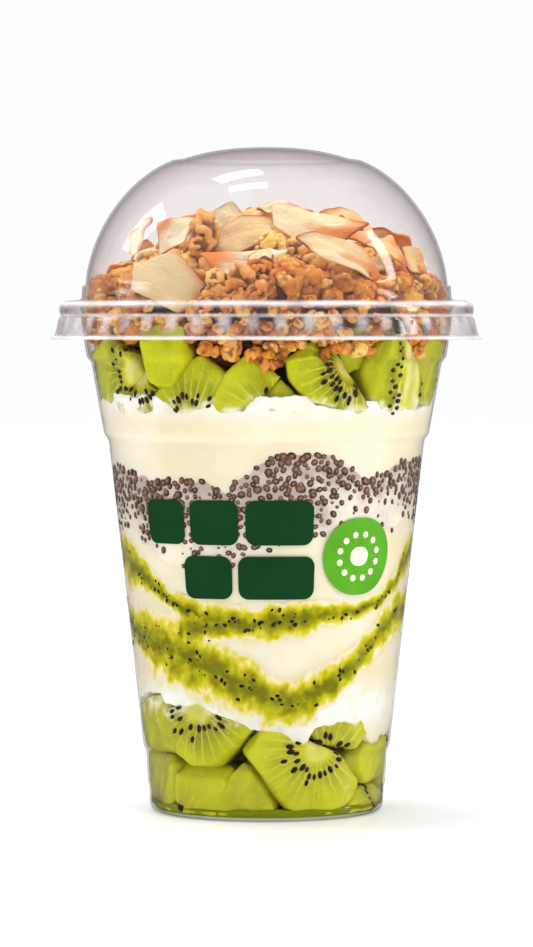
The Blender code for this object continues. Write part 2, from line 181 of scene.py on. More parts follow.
def softbox(name, towards, distance, width, height, watts, mirrored=True, turn=0):
    """A flat lamp that faces the middle of the cup from the given direction. One that isn't mirrored
    has its face turned out of the plastic's reflections."""
    lamp = bpy.data.lights.new(name, "AREA")
    lamp.shape = "RECTANGLE"
    lamp.size, lamp.size_y, lamp.energy = width, height, watts
    made = bpy.data.objects.new(name, lamp)
    direction = Vector(towards).normalized()
    made.location = direction * distance + Vector((0, 0, 0.1))
    made.rotation_euler = direction.to_track_quat("Z", "Y").to_euler()
    made.rotation_euler.rotate_axis("Z", math.radians(turn))
    made.visible_glossy = mirrored
    bpy.context.scene.collection.objects.link(made)


softbox("overhead", (-0.1, 0.1, 0.95), 1.2, 0.6, 0.5, 9, mirrored=False)
softbox("far_pane", (-0.2, 0.3, 1.1), 1.2, 0.36, 0.16, 2.2, turn=-16)
softbox("near_pane", (-0.15, -0.01, 1.15), 1.2, 0.1, 0.34, 1.5)
softbox("left_box", (-0.8, 0.25, 0.56), 1.2, 0.35, 0.5, 2.2)
softbox("right_strip", (0.98, -0.06, 0.3), 1.1, 0.13, 0.9, 3.5)
softbox("front_fill", (-0.5, -1.0, 0.9), 1.6, 0.9, 0.9, 2.4, mirrored=False)
softbox("high_fill", (0.3, -0.8, 1.2), 1.3, 0.3, 0.3, 4.8, mirrored=False)

camera_data = bpy.data.cameras.new("camera")
camera_data.lens = 163.5
camera = bpy.data.objects.new("camera", camera_data)
camera.location = (0, -1.026, 0.118)
camera.rotation_euler = (math.radians(90 - 2.1), 0, 0)
bpy.context.scene.collection.objects.link(camera)
bpy.context.scene.camera = camera
bpy.context.scene.view_settings.view_transform = "Standard"

# ---- The cup ------------------------------------------------------------------------------------
# A cold-drink cup thermoformed from one clear PET sheet, about 0.5 mm thick: a domed floor in a foot
# ring, two low stacking steps, a tapered body, two more steps and a rim rolled outwards.


def outline(points, radius=0.5, steps=3):
    """An outline of (radius, height) points in millimetres with each corner rounded."""
    made = [Vector(points[0])]
    for before, corner, after in zip(points, points[1:], points[2:]):
        before, corner, after = Vector(before), Vector(corner), Vector(after)
        reach = min(radius, (before - corner).length * 0.45, (after - corner).length * 0.45)
        start = corner + (before - corner).normalized() * reach
        end = corner + (after - corner).normalized() * reach
        for step in range(steps + 1):
            t = step / steps
            made.append(start.lerp(corner, t).lerp(corner.lerp(end, t), t))
    return made + [Vector(points[-1])]


def at(azimuth, radius, height):
    """The place at an azimuth in degrees, a radius and a height in millimetres."""
    turn = math.radians(azimuth)
    return Vector((radius * math.sin(turn), -radius * math.cos(turn), height)) * MM


def new_piece(name, mesh, material, stands_for=(), smooth=True):
    """Puts a mesh in the scene as a piece that rides on the one body."""
    mesh.materials.append(material)
    if smooth:
        mesh.shade_smooth()
    piece = bpy.data.objects.new(name, mesh)
    bpy.context.scene.collection.objects.link(piece)
    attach(piece, "root")
    if stands_for:
        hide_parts(*stands_for)
    return piece


def mesh_of(name, points, faces):
    made = bpy.data.meshes.new(name)
    made.from_pydata(np.asarray(points).tolist(), [], [list(face) for face in faces])
    made.validate()
    made.update()
    return made


def turned(name, profile, segments, shape=None):
    """A closed mesh turned about Z. The profile starts and ends on the axis, and shape may move its
    points, in millimetres, from azimuth, radius and height."""
    inner = [point for point in profile if point[0] > 1e-6]
    points = [at(0, 0, profile[0][1]), at(0, 0, profile[-1][1])]
    for i in range(segments):
        azimuth = 360 * i / segments
        for radius, height in inner:
            if shape:
                radius, height = shape(azimuth, radius, height)
            points.append(at(azimuth, radius, height))
    faces, count = [], len(inner)
    for i in range(segments):
        here, there = 2 + i * count, 2 + (i + 1) % segments * count
        faces.append((0, here, there))
        faces += [(here + k, here + k + 1, there + k + 1, there + k) for k in range(count - 1)]
        faces.append((1, there + count - 1, here + count - 1))
    made = mesh_of(name, points, faces)
    bm = bmesh.new()
    bm.from_mesh(made)
    bmesh.ops.recalc_face_normals(bm, faces=bm.faces[:])
    bm.to_mesh(made)
    bm.free()
    return made


CUP_OUTSIDE = [(0, 1.0), (23.6, 1.0), (24.4, 0), (26.4, 0), (27.5, 0.7), (27.85, 1.9), (28.05, 6.0),
               (28.35, 6.5), (28.8, 14.4), (29.5, 15.7), (37.6, 88.5), (38.7, 90.0), (41.7, 106.9),
               (42.8, 108.2), (43.3, 111.2), (44.2, 117.9)]
RIM_BEAD = [(45.6, 117.7), (47.6, 118.1), (48.2, 119.3), (47.7, 120.4), (46.2, 120.8), (44.7, 120.3)]
CUP_INSIDE = [(43.75, 118.3), (42.8, 111.3), (42.3, 108.4), (41.2, 107.1), (38.2, 90.2), (37.1, 88.7),
              (29.0, 15.9), (28.3, 14.6), (27.85, 6.8), (27.55, 6.2), (27.35, 2.0), (26.5, 1.0),
              (24.4, 0.7), (23.6, 1.6), (0, 1.6)]
cup_inner = np.array(sorted([(z, r) for r, z in CUP_INSIDE if r > 27.3]))
cup_outer = np.array(sorted([(z, r) for r, z in CUP_OUTSIDE if r > 27.8]))


def inside_radius(height):
    return float(np.interp(height, cup_inner[:, 0], cup_inner[:, 1]))


def outside_radius(height):
    return float(np.interp(height, cup_outer[:, 0], cup_outer[:, 1]))


def attribute(material, name, output="Fac"):
    """The socket of a number, or with "Vector" of a vector, that a mesh stores at its points."""
    return add_node(material, "ShaderNodeAttribute", attribute_name=name).outputs[output]


def ramp(material, source, stops):
    """A colour ramp from (position, colour) stops, where one number is a grey."""
    made = add_node(material, "ShaderNodeValToRGB", {"Fac": source})
    elements = made.color_ramp.elements
    while len(elements) < len(stops):
        elements.new(0.5)
    for element, (position, colour) in zip(elements, stops):
        element.position = position
        element.color = (*([colour] * 3 if isinstance(colour, (int, float)) else colour), 1)
    return made.outputs[0]


def clear_pet(name, face_on, edge_on, gloss, face_gloss):
    """Thin clear plastic: light passes nearly straight through, greyer where the sheet is seen edge on,
    and the surface mirrors the lamps more at a slant. A white matte surface, mixed in by the mesh's
    "bend" number, paints highlights along the lid's bends and ribs."""
    made, out = new_material(name)
    slant = add_node(made, "ShaderNodeLayerWeight", Blend=0.5).outputs["Facing"]
    tint = ramp(made, slant, [(0.35, face_on), (0.97, edge_on)])
    through = add_node(made, "ShaderNodeBsdfTransparent", {"Color": tint})
    mirror = add_node(made, "ShaderNodeBsdfGlossy", Roughness=gloss, Color=(1, 1, 1, 1))
    share = calc(made, "MULTIPLY_ADD", calc(made, "POWER", slant, 5), 0.6, face_gloss)
    both = add_node(made, "ShaderNodeMixShader", {0: share, 1: through.outputs[0], 2: mirror.outputs[0]})
    # Painted highlight: white matte wherever the mesh's "bend" number is set.
    painted_highlight = add_node(made, "ShaderNodeBsdfDiffuse", Color=(0.96, 0.94, 0.95, 1))
    whole = add_node(made, "ShaderNodeMixShader", {0: attribute(made, "bend"), 1: both.outputs[0],
                                                   2: painted_highlight.outputs[0]})
    made.node_tree.links.new(whole.outputs[0], out.inputs[0])
    return made


cup_pet = clear_pet("clear_cup_pet", (0.994, 0.992, 0.99), (0.86, 0.84, 0.83), 0.04, 0.007)
cup_profile = outline([*CUP_OUTSIDE, *RIM_BEAD, *CUP_INSIDE])
new_piece("clear_cup", turned("clear_cup", cup_profile, 160), cup_pet, ["cup"])

# ---- The dome lid -------------------------------------------------------------------------------
# Thermoformed from one clear PET sheet too. A round dome with a moulded ring near its crown stands on a
# short collar; the flange turns down over the rim in a bead and a flared skirt, which has short moulded
# ribs all round that stiffen it.

DOME_RADIUS, DOME_RISE, DOME_FOOT, DOME_START = 43.3, 39.5, 122.0, 125.3
CROWN_RADIUS, CROWN_TOP = 19.4, 158.0
LID_WALL = 0.45
RIBS = 48
FLANGE_OUTSIDE = [(43.9, 125.0), (44.1, 121.8), (47.7, 121.6), (48.9, 121.1), (49.35, 120.1),
                  (49.3, 118.7), (48.95, 118.0), (49.5, 117.2), (50.4, 113.4), (51.3, 112.9)]
FLANGE_INSIDE = [(51.2, 112.45), (49.95, 112.95), (49.05, 117.0), (48.5, 118.0), (48.85, 118.9),
                 (48.85, 120.0), (48.5, 120.75), (47.5, 121.15), (43.75, 121.35), (43.45, 124.7)]


def dome_point(share):
    """A point of the dome's section, which is a little flatter near the crown."""
    radius, height = DOME_RADIUS * math.cos(share), DOME_FOOT + DOME_RISE * math.sin(share)
    return radius, height - 1.4 * max(0, 1 - (radius - CROWN_RADIUS) / 14) ** 2


crown_share = math.acos(CROWN_RADIUS / DOME_RADIUS)
start_share = math.asin((DOME_START - DOME_FOOT) / DOME_RISE)
arc = [dome_point(crown_share + (start_share - crown_share) * i / 25) for i in range(26)]
crown_edge = arc[0][1] - 0.5
crown = [(CROWN_RADIUS * i / 10, CROWN_TOP - (CROWN_TOP - crown_edge) * (i / 10) ** 2.4) for i in range(11)]
ring = [(CROWN_RADIUS + 0.5, crown_edge - 0.3), (CROWN_RADIUS + 1.2, crown_edge - 0.35)]
dome = crown + ring + [point for point in arc if point[0] > CROWN_RADIUS + 1.9]
under = [(max(0, r - LID_WALL * (r / 52)), z - LID_WALL * (0.75 + 0.25 * (z - 120) / 40)) for r, z in dome]


def with_ribs(azimuth, radius, height):
    """Presses the ribs into the upper part of the skirt."""
    if radius > 48.3 and 113.6 < height < 118.6:
        wave = abs((azimuth * RIBS / 360) % 1 - 0.5) * 2
        press = max(0.0, 1 - wave * 2.6) * math.sin(math.pi * (height - 113.6) / 5)
        radius -= 0.55 * press
    return radius, height


def add_attribute(mesh, name, values):
    """Stores one number, or one vector, for each point of a mesh."""
    values = np.asarray(values, np.float32)
    kind, field = ("FLOAT", "value") if values.ndim == 1 else ("FLOAT_VECTOR", "vector")
    mesh.attributes.new(name, kind, "POINT").data.foreach_set(field, values.ravel())


lid_pet = clear_pet("clear_lid_pet", (0.98, 0.971, 0.971), (0.92, 0.895, 0.895), 0.045, 0.03)
skirt = outline(FLANGE_OUTSIDE, 0.6)
lid_profile = [Vector(point) for point in dome] + skirt + outline(FLANGE_INSIDE, 0.6)
lid_profile += [Vector(point) for point in reversed(under)]
lid_mesh = turned("clear_dome_lid", lid_profile, RIBS * 5, with_ribs)
# The bends of the flange's bead, the shoulder under it and the skirt's lip, which get a painted
# highlight: height, half breadth, the least and the most radius, and how strong the painted highlight is.
BEND_HIGHLIGHTS = [(120.9, 0.7, 47.5, 50, 0.6), (118.1, 0.35, 48, 50, 0.45), (112.9, 0.4, 49.8, 52, 0.75)]


def bend_highlight_share(point):
    """How strong the painted highlight on the lid is at a point, along its bends and the ribs of its skirt.
    """
    azimuth, radius = math.degrees(math.atan2(point.x, -point.y)), math.hypot(point.x, point.y) / MM
    height = point.z / MM
    share = 0.015
    for level, breadth, least, most, strength in BEND_HIGHLIGHTS:
        if least < radius < most:
            share = max(share, strength * math.exp(-((height - level) / breadth) ** 2))
    wave = abs((azimuth * RIBS / 360) % 1 - 0.5) * 2
    if radius > 47.5 and 114 < height < 118 and wave < 0.3:
        share = max(share, 0.36)
    return share * (0.75 + 0.5 * noise.noise(Vector((azimuth / 9, height / 3, 2))))


add_attribute(lid_mesh, "bend", [bend_highlight_share(v.co) for v in lid_mesh.vertices])
new_piece("clear_dome_lid", lid_mesh, lid_pet, ["dome_lid"])

# ---- Yogurt -------------------------------------------------------------------------------------
# Thick, cream-coloured strained yogurt, spooned in and pressed flat against the plastic. Near the puree
# it takes a yellow tinge, and it is whiter and curdled where juice from the chunks has run into it.


def wall_curve(points):
    """A smooth closed curve through (azimuth, value, ...) points, as a function of azimuth."""
    ordered = sorted(points)
    closed = ordered + [(ordered[0][0] + 360, *ordered[0][1:])]

    def value(azimuth):
        place = ordered[0][0] + (azimuth - ordered[0][0]) % 360
        for before, after in zip(closed, closed[1:]):
            if before[0] <= place <= after[0]:
                t = (place - before[0]) / (after[0] - before[0])
                ease = t * t * (3 - 2 * t)
                return np.array(before[1:]) + (np.array(after[1:]) - np.array(before[1:])) * ease
        return np.array(ordered[0][1:])

    return value


def wobble(azimuth, height, size, seed=0.0):
    """Smooth noise from -1 to 1 over the wall, with bumps about the given size in millimetres."""
    place = at(azimuth, 34, height) / (size * MM)
    return noise.noise(place + Vector((seed, seed * 1.7, -seed)))


CHIA_TOP = [(-73, 83), (-60, 81.6), (-45, 80), (-25, 79.9), (-15, 77.8), (-8, 81.5), (1, 85.4), (12, 86.5),
            (22, 86), (31, 83.2), (40, 80), (48, 81.7), (60, 84), (80, 84.5), (110, 80), (140, 83),
            (170, 79), (200, 81), (235, 84), (265, 82)]
CHIA_BOTTOM = [(-73, 66.5), (-66, 68.2), (-57, 64.6), (-40, 59.6), (-16, 59.5), (-2, 62.5), (6, 65),
               (21, 67.5), (35, 70), (57, 67.7), (70, 70.3), (90, 68), (120, 62), (150, 66), (180, 60),
               (210, 64), (240, 68), (265, 64)]
chia_top, chia_bottom = wall_curve(CHIA_TOP), wall_curve(CHIA_BOTTOM)

# Streaks of puree: azimuth in degrees, height of the middle and breadth in millimetres.
STREAKS = {
    "puree_low": [(-75, 44.5, 6), (-63, 42.5, 8), (-54, 41, 9.5), (-42, 39.6, 11.5),
                  (-33, 38.2, 12), (-24, 36, 11),
                  (-9, 31.8, 8.6), (3, 28.6, 7.6), (10, 28, 7.4), (18, 29.2, 6.8), (28, 31.8, 6.2),
                  (38, 36, 5.6), (48, 40.2, 5.8), (58, 44.6, 6.8), (68, 48, 7.4), (95, 49, 6), (120, 45, 7),
                  (150, 37, 8), (180, 33, 7), (210, 38, 7), (240, 47, 6), (262, 48, 5.5)],
    "puree_high": [(-75, 61, 9), (-66, 59, 8), (-58, 57.2, 6.4), (-50, 54.4, 4), (-41, 51.2, 3), (-33, 49, 4),
                   (-24, 46.8, 6.4), (-8, 46.2, 5.8), (4, 47.2, 5.6), (16, 48, 5.6), (26, 48.8, 4),
                   (38, 49.2, 3), (52, 51, 2.8), (62, 54.6, 4), (72, 60, 6), (84, 63, 6), (100, 60, 5),
                   (130, 55, 6), (160, 52, 5), (190, 52, 6), (220, 56, 6), (250, 61, 5), (266, 62, 7)],
    "puree_link": [(-41, 43.0, 4.0), (-37, 44.4, 6.0), (-31, 45.0, 6.5), (-24, 46.0, 4.0)],
}
streak_curves = {name: wall_curve(points) for name, points in STREAKS.items()}


def streak_nearness(azimuth, height):
    """How deep a place on the wall lies in the puree: 1 in the middle of a streak and 0 at its edge."""
    best = -9.0
    for name, curve in streak_curves.items():
        if name == "puree_link" and not -41 <= (azimuth + 180) % 360 - 180 <= -24:
            continue
        middle, breadth = curve(azimuth)
        best = max(best, 1 - abs(height - middle) / (breadth / 2))
    return best


def drum(name, columns, low, high, rows, radius_at):
    """A closed body that fills the cup between two wavy edges: its wall is a fine grid. Returns the mesh
    and, for each of its points, the azimuth, the height and whether it is on the wall."""
    points, places = [], []
    azimuths = [360 * i / columns for i in range(columns)]
    floor_shares = (0.0, 0.35, 0.7, 0.93)
    levels = [(share, 0) for share in floor_shares[1:]]
    levels += [(1.0, i / rows) for i in range(rows + 1)]
    levels += [(share, 1) for share in reversed(floor_shares[1:])]
    for share, lift in levels:
        for azimuth in azimuths:
            bottom, top = low(azimuth), high(azimuth)
            height = bottom + (top - bottom) * lift
            points.append(at(azimuth, radius_at(azimuth, height) * share, height))
            places.append((azimuth, height, share == 1.0))
    faces = []
    for level in range(len(levels) - 1):
        for i in range(columns):
            j = (i + 1) % columns
            faces.append((level * columns + i, level * columns + j,
                          (level + 1) * columns + j, (level + 1) * columns + i))
    middle_low, middle_high = len(points), len(points) + 1
    points += [at(0, 0, low(0)), at(0, 0, high(0))]
    places += [(0, low(0), False), (0, high(0), False)]
    last = (len(levels) - 1) * columns
    for i in range(columns):
        j = (i + 1) % columns
        faces.append((middle_low, j, i))
        faces.append((middle_high, last + i, last + j))
    return mesh_of(name, points, faces), places


def mix(material, share, first, second, blend_type="MIX"):
    """Mixes two colours. Each is a socket or three numbers, and share is a socket or a number."""
    made = add_node(material, "ShaderNodeMix", data_type="RGBA", blend_type=blend_type)
    tree = getattr(material, "node_tree", material)
    for socket, value in ((made.inputs[0], share), (made.inputs[6], first), (made.inputs[7], second)):
        if isinstance(value, bpy.types.NodeSocket):
            tree.links.new(value, socket)
        else:
            socket.default_value = value if isinstance(value, (int, float)) else (*value, 1)
    return made.outputs[2]


def texture(material, scale, detail=3.0, roughness=0.55, vector=None, distortion=0.0):
    """Noise over the piece's own coordinates, or over the given vector. Scale is bumps for each metre."""
    if vector is None:
        vector = add_node(material, "ShaderNodeTexCoord").outputs["Object"]
    made = add_node(material, "ShaderNodeTexNoise", {"Vector": vector}, Scale=scale, Detail=detail,
                    Roughness=roughness, Distortion=distortion)
    return made.outputs[0]


def bump(material, height, strength, depth):
    """A bump of the given depth in metres."""
    return add_node(material, "ShaderNodeBump", {"Height": height}, Strength=strength,
                    Distance=depth).outputs[0]


yogurt_look, shader = principled("strained_yogurt", Roughness=0.34, Subsurface_Weight=0.35,
                                 Subsurface_Scale=0.004, Subsurface_Radius=(1.0, 0.85, 0.6), IOR=1.38)
cream = mix(yogurt_look, ramp(yogurt_look, texture(yogurt_look, 45, 4), [(0.38, 0), (0.66, 1)]),
            srgb(238, 226, 192), srgb(245, 238, 216))
tinge = attribute(yogurt_look, "tinge")
curd = attribute(yogurt_look, "curd")
cream = mix(yogurt_look, curd, cream, srgb(254, 252, 243))
cream = mix(yogurt_look, ramp(yogurt_look, tinge, [(0.0, 0), (1.0, 1)]), cream, srgb(226, 214, 74))
feed(shader, Base_Color=cream)
feed(shader, Normal=bump(yogurt_look, texture(yogurt_look, 700, 3), 0.12, 0.0002))


def yogurt_drum(name, node, low, high, rows, columns=340):
    """A layer of yogurt. Its wall presses into the plastic, a little unevenly."""

    def radius(azimuth, height):
        uneven = 0.10 + 0.07 * wobble(azimuth, height, 2.2, 5) + 0.05 * wobble(azimuth, height, 0.9, 9)
        return inside_radius(height) + uneven

    mesh, places = drum(name, columns, low, high, rows, radius)
    tinge, curd = [], []
    for azimuth, height, on_wall in places:
        near = streak_nearness(azimuth, height) if on_wall and height < 66 else -9
        near += 0.55 * wobble(azimuth, height, 6, 2) + 0.3 * wobble(azimuth, height, 2, 3)
        tinge.append(min(1.0, max(0.0, 0.62 + 0.62 * near)) ** 1.4)
        edge = max(0.0, 1 - abs(height - 26) / 8) if node == "yogurt_lower" else max(0.0, (height - 93) / 6)
        curd.append(min(1.0, edge * (1.0 + 0.8 * wobble(azimuth, height, 3, 4))))
    add_attribute(mesh, "tinge", tinge)
    add_attribute(mesh, "curd", curd)
    return new_piece(name, mesh, yogurt_look, [node])


# Where the yogurt ends between the chunks, as azimuth and height.
YOGURT_FOOT = [(-92, 27), (-82, 28), (-66, 30), (-55, 30), (-50, 27.5), (-39, 27.5), (-31, 28.5), (-24, 26),
               (-14, 24.5), (-5, 22.5), (4, 23.5), (10, 20.5), (17, 19), (23, 23), (34, 24), (48, 22.5),
               (57, 18.5), (70, 19.5), (90, 22), (120, 27), (150, 23), (180, 27), (210, 22), (240, 27)]
YOGURT_TOP = [(-90, 96), (-61, 99), (-53, 98), (-39, 98), (-31, 95), (-24, 96), (-19, 97.5),
              (-8, 95), (-3, 98),
              (13, 98), (17, 96), (29, 95.3), (37, 97), (44, 97), (59, 95), (90, 97), (120, 98), (150, 95),
              (180, 98), (210, 96), (240, 98)]
yogurt_foot, yogurt_top = wall_curve(YOGURT_FOOT), wall_curve(YOGURT_TOP)


def ragged(curve, azimuth, seed):
    """A height on a curve with curds along it."""
    height = curve(azimuth)[0] + (1.3 if curve is yogurt_top else -0.8)
    return height + 0.8 * wobble(azimuth, height, 2.6, seed) + 0.5 * wobble(azimuth, height, 1.1, seed + 1)


UNDER_CHIA = 2.5      # how far each yogurt reaches in behind the chia band
yogurt_drum("yogurt_below", "yogurt_lower", lambda azimuth: ragged(yogurt_foot, azimuth, 41),
            lambda azimuth: chia_bottom(azimuth)[0] + UNDER_CHIA, 84)
yogurt_drum("yogurt_above", "yogurt_upper", lambda azimuth: chia_top(azimuth)[0] - UNDER_CHIA,
            lambda azimuth: ragged(yogurt_top, azimuth, 43), 46)

# ---- Kiwi puree ---------------------------------------------------------------------------------
# Ripe kiwi crushed with its seeds and drizzled down the wall between spoonfuls of yogurt. It is wet and
# half clear, deep green where it is thick and yellow where it thins out into ragged edges.


def green_puree():
    made, shader = principled("crushed_kiwi", Roughness=0.22, Specular_IOR_Level=0.25, Subsurface_Weight=0.25,
                              Subsurface_Scale=0.003, Subsurface_Radius=(0.8, 1.0, 0.2), IOR=1.4)
    depth = attribute(made, "thickness")
    cloud = add_node(made, "ShaderNodeMapRange", {0: texture(made, 330, 5, 0.65)}, From_Min=0.3, From_Max=0.7,
                     To_Min=0.5, To_Max=1.25).outputs[0]
    both = calc(made, "MULTIPLY", depth, cloud)
    colour = ramp(made, both, [(0.0, srgb(247, 237, 205)), (0.1, srgb(240, 226, 150)),
                               (0.22, srgb(222, 208, 64)), (0.38, srgb(196, 190, 10)),
                               (0.62, srgb(158, 154, 4)), (0.9, srgb(120, 118, 6))])
    feed(shader, Base_Color=colour)
    feed(shader, Normal=bump(made, texture(made, 1500, 3), 0.2, 0.0002))
    return made


puree_look = green_puree()


def puree_streak(name, first, last, closed):
    """One streak: a band that is thickest in the middle. Its ragged edge is where it sinks into the
    yogurt, and its back is a rounded ridge."""
    curve, across, back = streak_curves[name], 26, 4
    spread = 1.7
    count = 780 if closed else 60
    points, thickness = [], []
    for i in range(count if closed else count + 1):
        azimuth = first + (last - first) * i / count
        middle, breadth = curve(azimuth)
        half = breadth * 0.56 * (1 + 0.2 * wobble(azimuth, middle, 9, 7))
        taper = 1.0 if closed else min(1.0, 6 * min(i, count - i) / count)
        for k in range(across + 1):
            s = (2 * k / across - 1) * spread
            height = middle + s * half
            fray = 0.34 * wobble(azimuth, height, 5, 11) + 0.3 * wobble(azimuth, height, 2, 13)
            fray += 0.2 * wobble(azimuth, height, 0.9, 17)
            body = (1.25 - abs(s) * 0.95 + fray) * taper - (1 - taper)
            reach = 0.12 + 0.14 * min(1.0, max(-1.2, body * 2.5))
            points.append(at(azimuth, inside_radius(height) + reach, height))
            thickness.append(max(0.0, min(1.0, body * 0.85)))
        for k in range(back):
            s = (1 - 2 * (k + 1) / (back + 1)) * spread
            height = middle + s * half
            depth = 1.2 + 2.2 * (1 - (s / spread) ** 2)
            points.append(at(azimuth, inside_radius(height) - depth, height))
            thickness.append(1.0)
    around = across + 1 + back
    rows = count if closed else count + 1
    faces = []
    for i in range(rows if closed else rows - 1):
        j = (i + 1) % rows
        for k in range(around):
            m = (k + 1) % around
            faces.append((i * around + k, j * around + k, j * around + m, i * around + m))
    if not closed:
        faces += [tuple(reversed(range(around))), tuple((rows - 1) * around + k for k in range(around))]
    mesh = mesh_of("streak_" + name, points, faces)
    add_attribute(mesh, "thickness", thickness)
    return new_piece("streak_" + name, mesh, puree_look, [name])


puree_streak("puree_low", 0, 360, True)
puree_streak("puree_high", 0, 360, True)
puree_streak("puree_link", -41, -24, False)

# ---- Chia ---------------------------------------------------------------------------------------
# Chia seeds soaked in yogurt: each dark brown seed swells a clear jelly coat, which looks grey where
# the seeds crowd. The band is packed at its top and thins out into the yogurt below.


def grey_jelly():
    made, shader = principled("soaked_seed_jelly", Roughness=0.28, Subsurface_Weight=0.25,
                              Subsurface_Scale=0.002, Subsurface_Radius=(1.0, 0.9, 0.8), IOR=1.38)
    packed = attribute(made, "packed")
    cloud = texture(made, 260, 4, 0.6)
    both = calc(made, "MULTIPLY", packed, cloud)
    colour = ramp(made, both, [(0.05, srgb(247, 237, 212)), (0.26, srgb(226, 216, 204)),
                               (0.52, srgb(186, 170, 163))])
    feed(shader, Base_Color=colour)
    return made


def band_share(azimuth, height):
    """Where a height lies in the band: 0 at its top edge and 1 at its bottom."""
    top, bottom = chia_top(azimuth)[0], chia_bottom(azimuth)[0]
    return (top - height) / (top - bottom)


def crowding(azimuth, height):
    """How closely the seeds lie, from 0 to 1."""
    share = band_share(azimuth, height)
    full = min(1.0, max(0.0, 1.25 - 1.05 * share + 0.55 * wobble(azimuth, height, 8, 21)))
    return full if 0 <= share <= 1 else 0.0


def jelly_radius(azimuth, height):
    share = band_share(azimuth, height)
    inset = min(share, 1 - share) * 16 + 0.8 * wobble(azimuth, height, 2.4, 23)
    return inside_radius(height) + 0.04 + 0.16 * min(1.0, max(-1.0, inset))


jelly, jelly_places = drum("chia_jelly", 420, lambda a: chia_bottom(a)[0], lambda a: chia_top(a)[0], 44,
                           jelly_radius)
add_attribute(jelly, "packed", [crowding(a, h) if on_wall else 1.0 for a, h, on_wall in jelly_places])
new_piece("chia_jelly", jelly, grey_jelly(), ["chia_layer"])


def seed_shape(rings, around):
    """A unit seed as a dome of rings round its outward tip, and how near the tip each point is."""
    points, tips = [(0, 0, 1)], [1.0]
    for polar in rings:
        for i in range(around):
            turn = 2 * math.pi * i / around
            flat = math.sin(polar)
            points.append((flat * math.cos(turn), flat * math.sin(turn), math.cos(polar)))
            tips.append(math.cos(polar))
    points.append((0, 0, -1))
    tips.append(-1.0)
    faces = [(0, 1 + i, 1 + (i + 1) % around) for i in range(around)]
    for row in range(len(rings) - 1):
        for i in range(around):
            j = (i + 1) % around
            a, b = 1 + row * around, 1 + (row + 1) * around
            faces.append((a + i, b + i, b + j, a + j))
    base = 1 + (len(rings) - 1) * around
    faces += [(base + i, len(points) - 1, base + (i + 1) % around) for i in range(around)]
    return np.array(points, float), faces, np.array(tips)


def stamp(name, shape, matrices, attributes=None):
    """One mesh of many copies of a shape, one for each matrix."""
    points, faces = shape[0], shape[1]
    stacked = np.array([np.array(matrix)[:3, :] for matrix in matrices])
    moved = np.einsum("nij,pj->npi", stacked[:, :, :3], points) + stacked[:, None, :, 3]
    every, count = [], len(points)
    for i in range(len(matrices)):
        every += [tuple(corner + i * count for corner in face) for face in faces]
    mesh = mesh_of(name, moved.reshape(-1, 3), every)
    for key, values in (attributes or {}).items():
        values = np.asarray(values)
        spread = np.repeat(values, count) if len(values) == len(matrices) else np.tile(values, len(matrices))
        add_attribute(mesh, key, spread)
    return mesh


def facing_out(azimuth, height, depth, sizes, spin):
    """The place of a seed against the wall, its tip outwards. Sizes are half its length, half its width
    and half its depth, in millimetres."""
    out = at(azimuth, 1, 0).normalized()
    side = Vector((0, 0, 1)).cross(out)
    turn = Matrix((side, Vector((0, 0, 1)), out)).transposed().to_4x4()
    scale = Matrix.Diagonal((*[size * MM for size in sizes], 1))
    place = at(azimuth, inside_radius(height) - depth, height)
    return Matrix.Translation(place) @ turn @ Matrix.Rotation(spin, 4, "Z") @ scale


DEGREES = 57.3               # in one radian
CHIA_SPACING, CHIA_ROW = 1.75, 1.5
CHIA_RADIUS = 35.5           # the cup's radius in the middle of the band
rng = random.Random(41)
seed_rings = [math.radians(a) for a in (22, 50, 82, 125)]
chia_seed = seed_shape(seed_rings, 7)
chia_places, chia_tones = [], []
row, height = 0, 57.0
step = CHIA_SPACING / CHIA_RADIUS * DEGREES
while height < 89:
    for k in range(int(360 / step)):
        azimuth = k * step + (row % 2) * step / 2 + rng.uniform(-0.35, 0.35) * step
        lift = height + rng.uniform(-0.55, 0.55)
        crowd = crowding(azimuth, lift)
        if crowd <= 0 or rng.random() > crowd * 1.15:
            continue
        long = rng.uniform(0.9, 1.5) * (0.8 + 0.25 * crowd)
        wide = long * rng.uniform(0.72, 0.95)
        sunk = 0.22 + rng.random() ** 2 * (0.2 + 0.25 * (1 - crowd))
        chia_places.append(facing_out(azimuth, lift, sunk, (long, wide, 0.72), rng.uniform(0, math.pi)))
        chia_tones.append(rng.random())
    height += CHIA_ROW
    row += 1


def chia_skin():
    made, shader = principled("chia_skin", Roughness=0.3, IOR=1.42)
    tone = attribute(made, "tone")
    tip = attribute(made, "tip")
    skin = ramp(made, tone, [(0.0, srgb(34, 18, 14)), (0.55, srgb(62, 38, 30)), (1.0, srgb(98, 70, 58))])
    grain = texture(made, 1400, 3, 0.7)
    skin = mix(made, ramp(made, grain, [(0.42, 0), (0.62, 0.5)]), skin, srgb(140, 104, 82))
    # Painted highlight: a lighter brown spot at each seed's outward tip, where it presses against the
    # plastic.
    dot = ramp(made, tip, [(0.9, 0), (0.985, 0.75)])
    rim = ramp(made, tip, [(0.3, 0.55), (0.62, 0)])
    skin = mix(made, dot, skin, srgb(168, 126, 98))
    feed(shader, Base_Color=mix(made, rim, skin, srgb(168, 155, 152)))
    return made


chia_mesh = stamp("chia_seeds", chia_seed, chia_places, {"tone": chia_tones, "tip": chia_seed[2]})
new_piece("chia_seeds", chia_mesh, chia_skin())

# ---- Kiwi chunks --------------------------------------------------------------------------------
# Peeled ripe kiwi diced with a knife, so that each chunk shows a different cut through the fruit: a
# cream core, dark seeds in a ring round it, pale rays between them and clear green flesh outside.

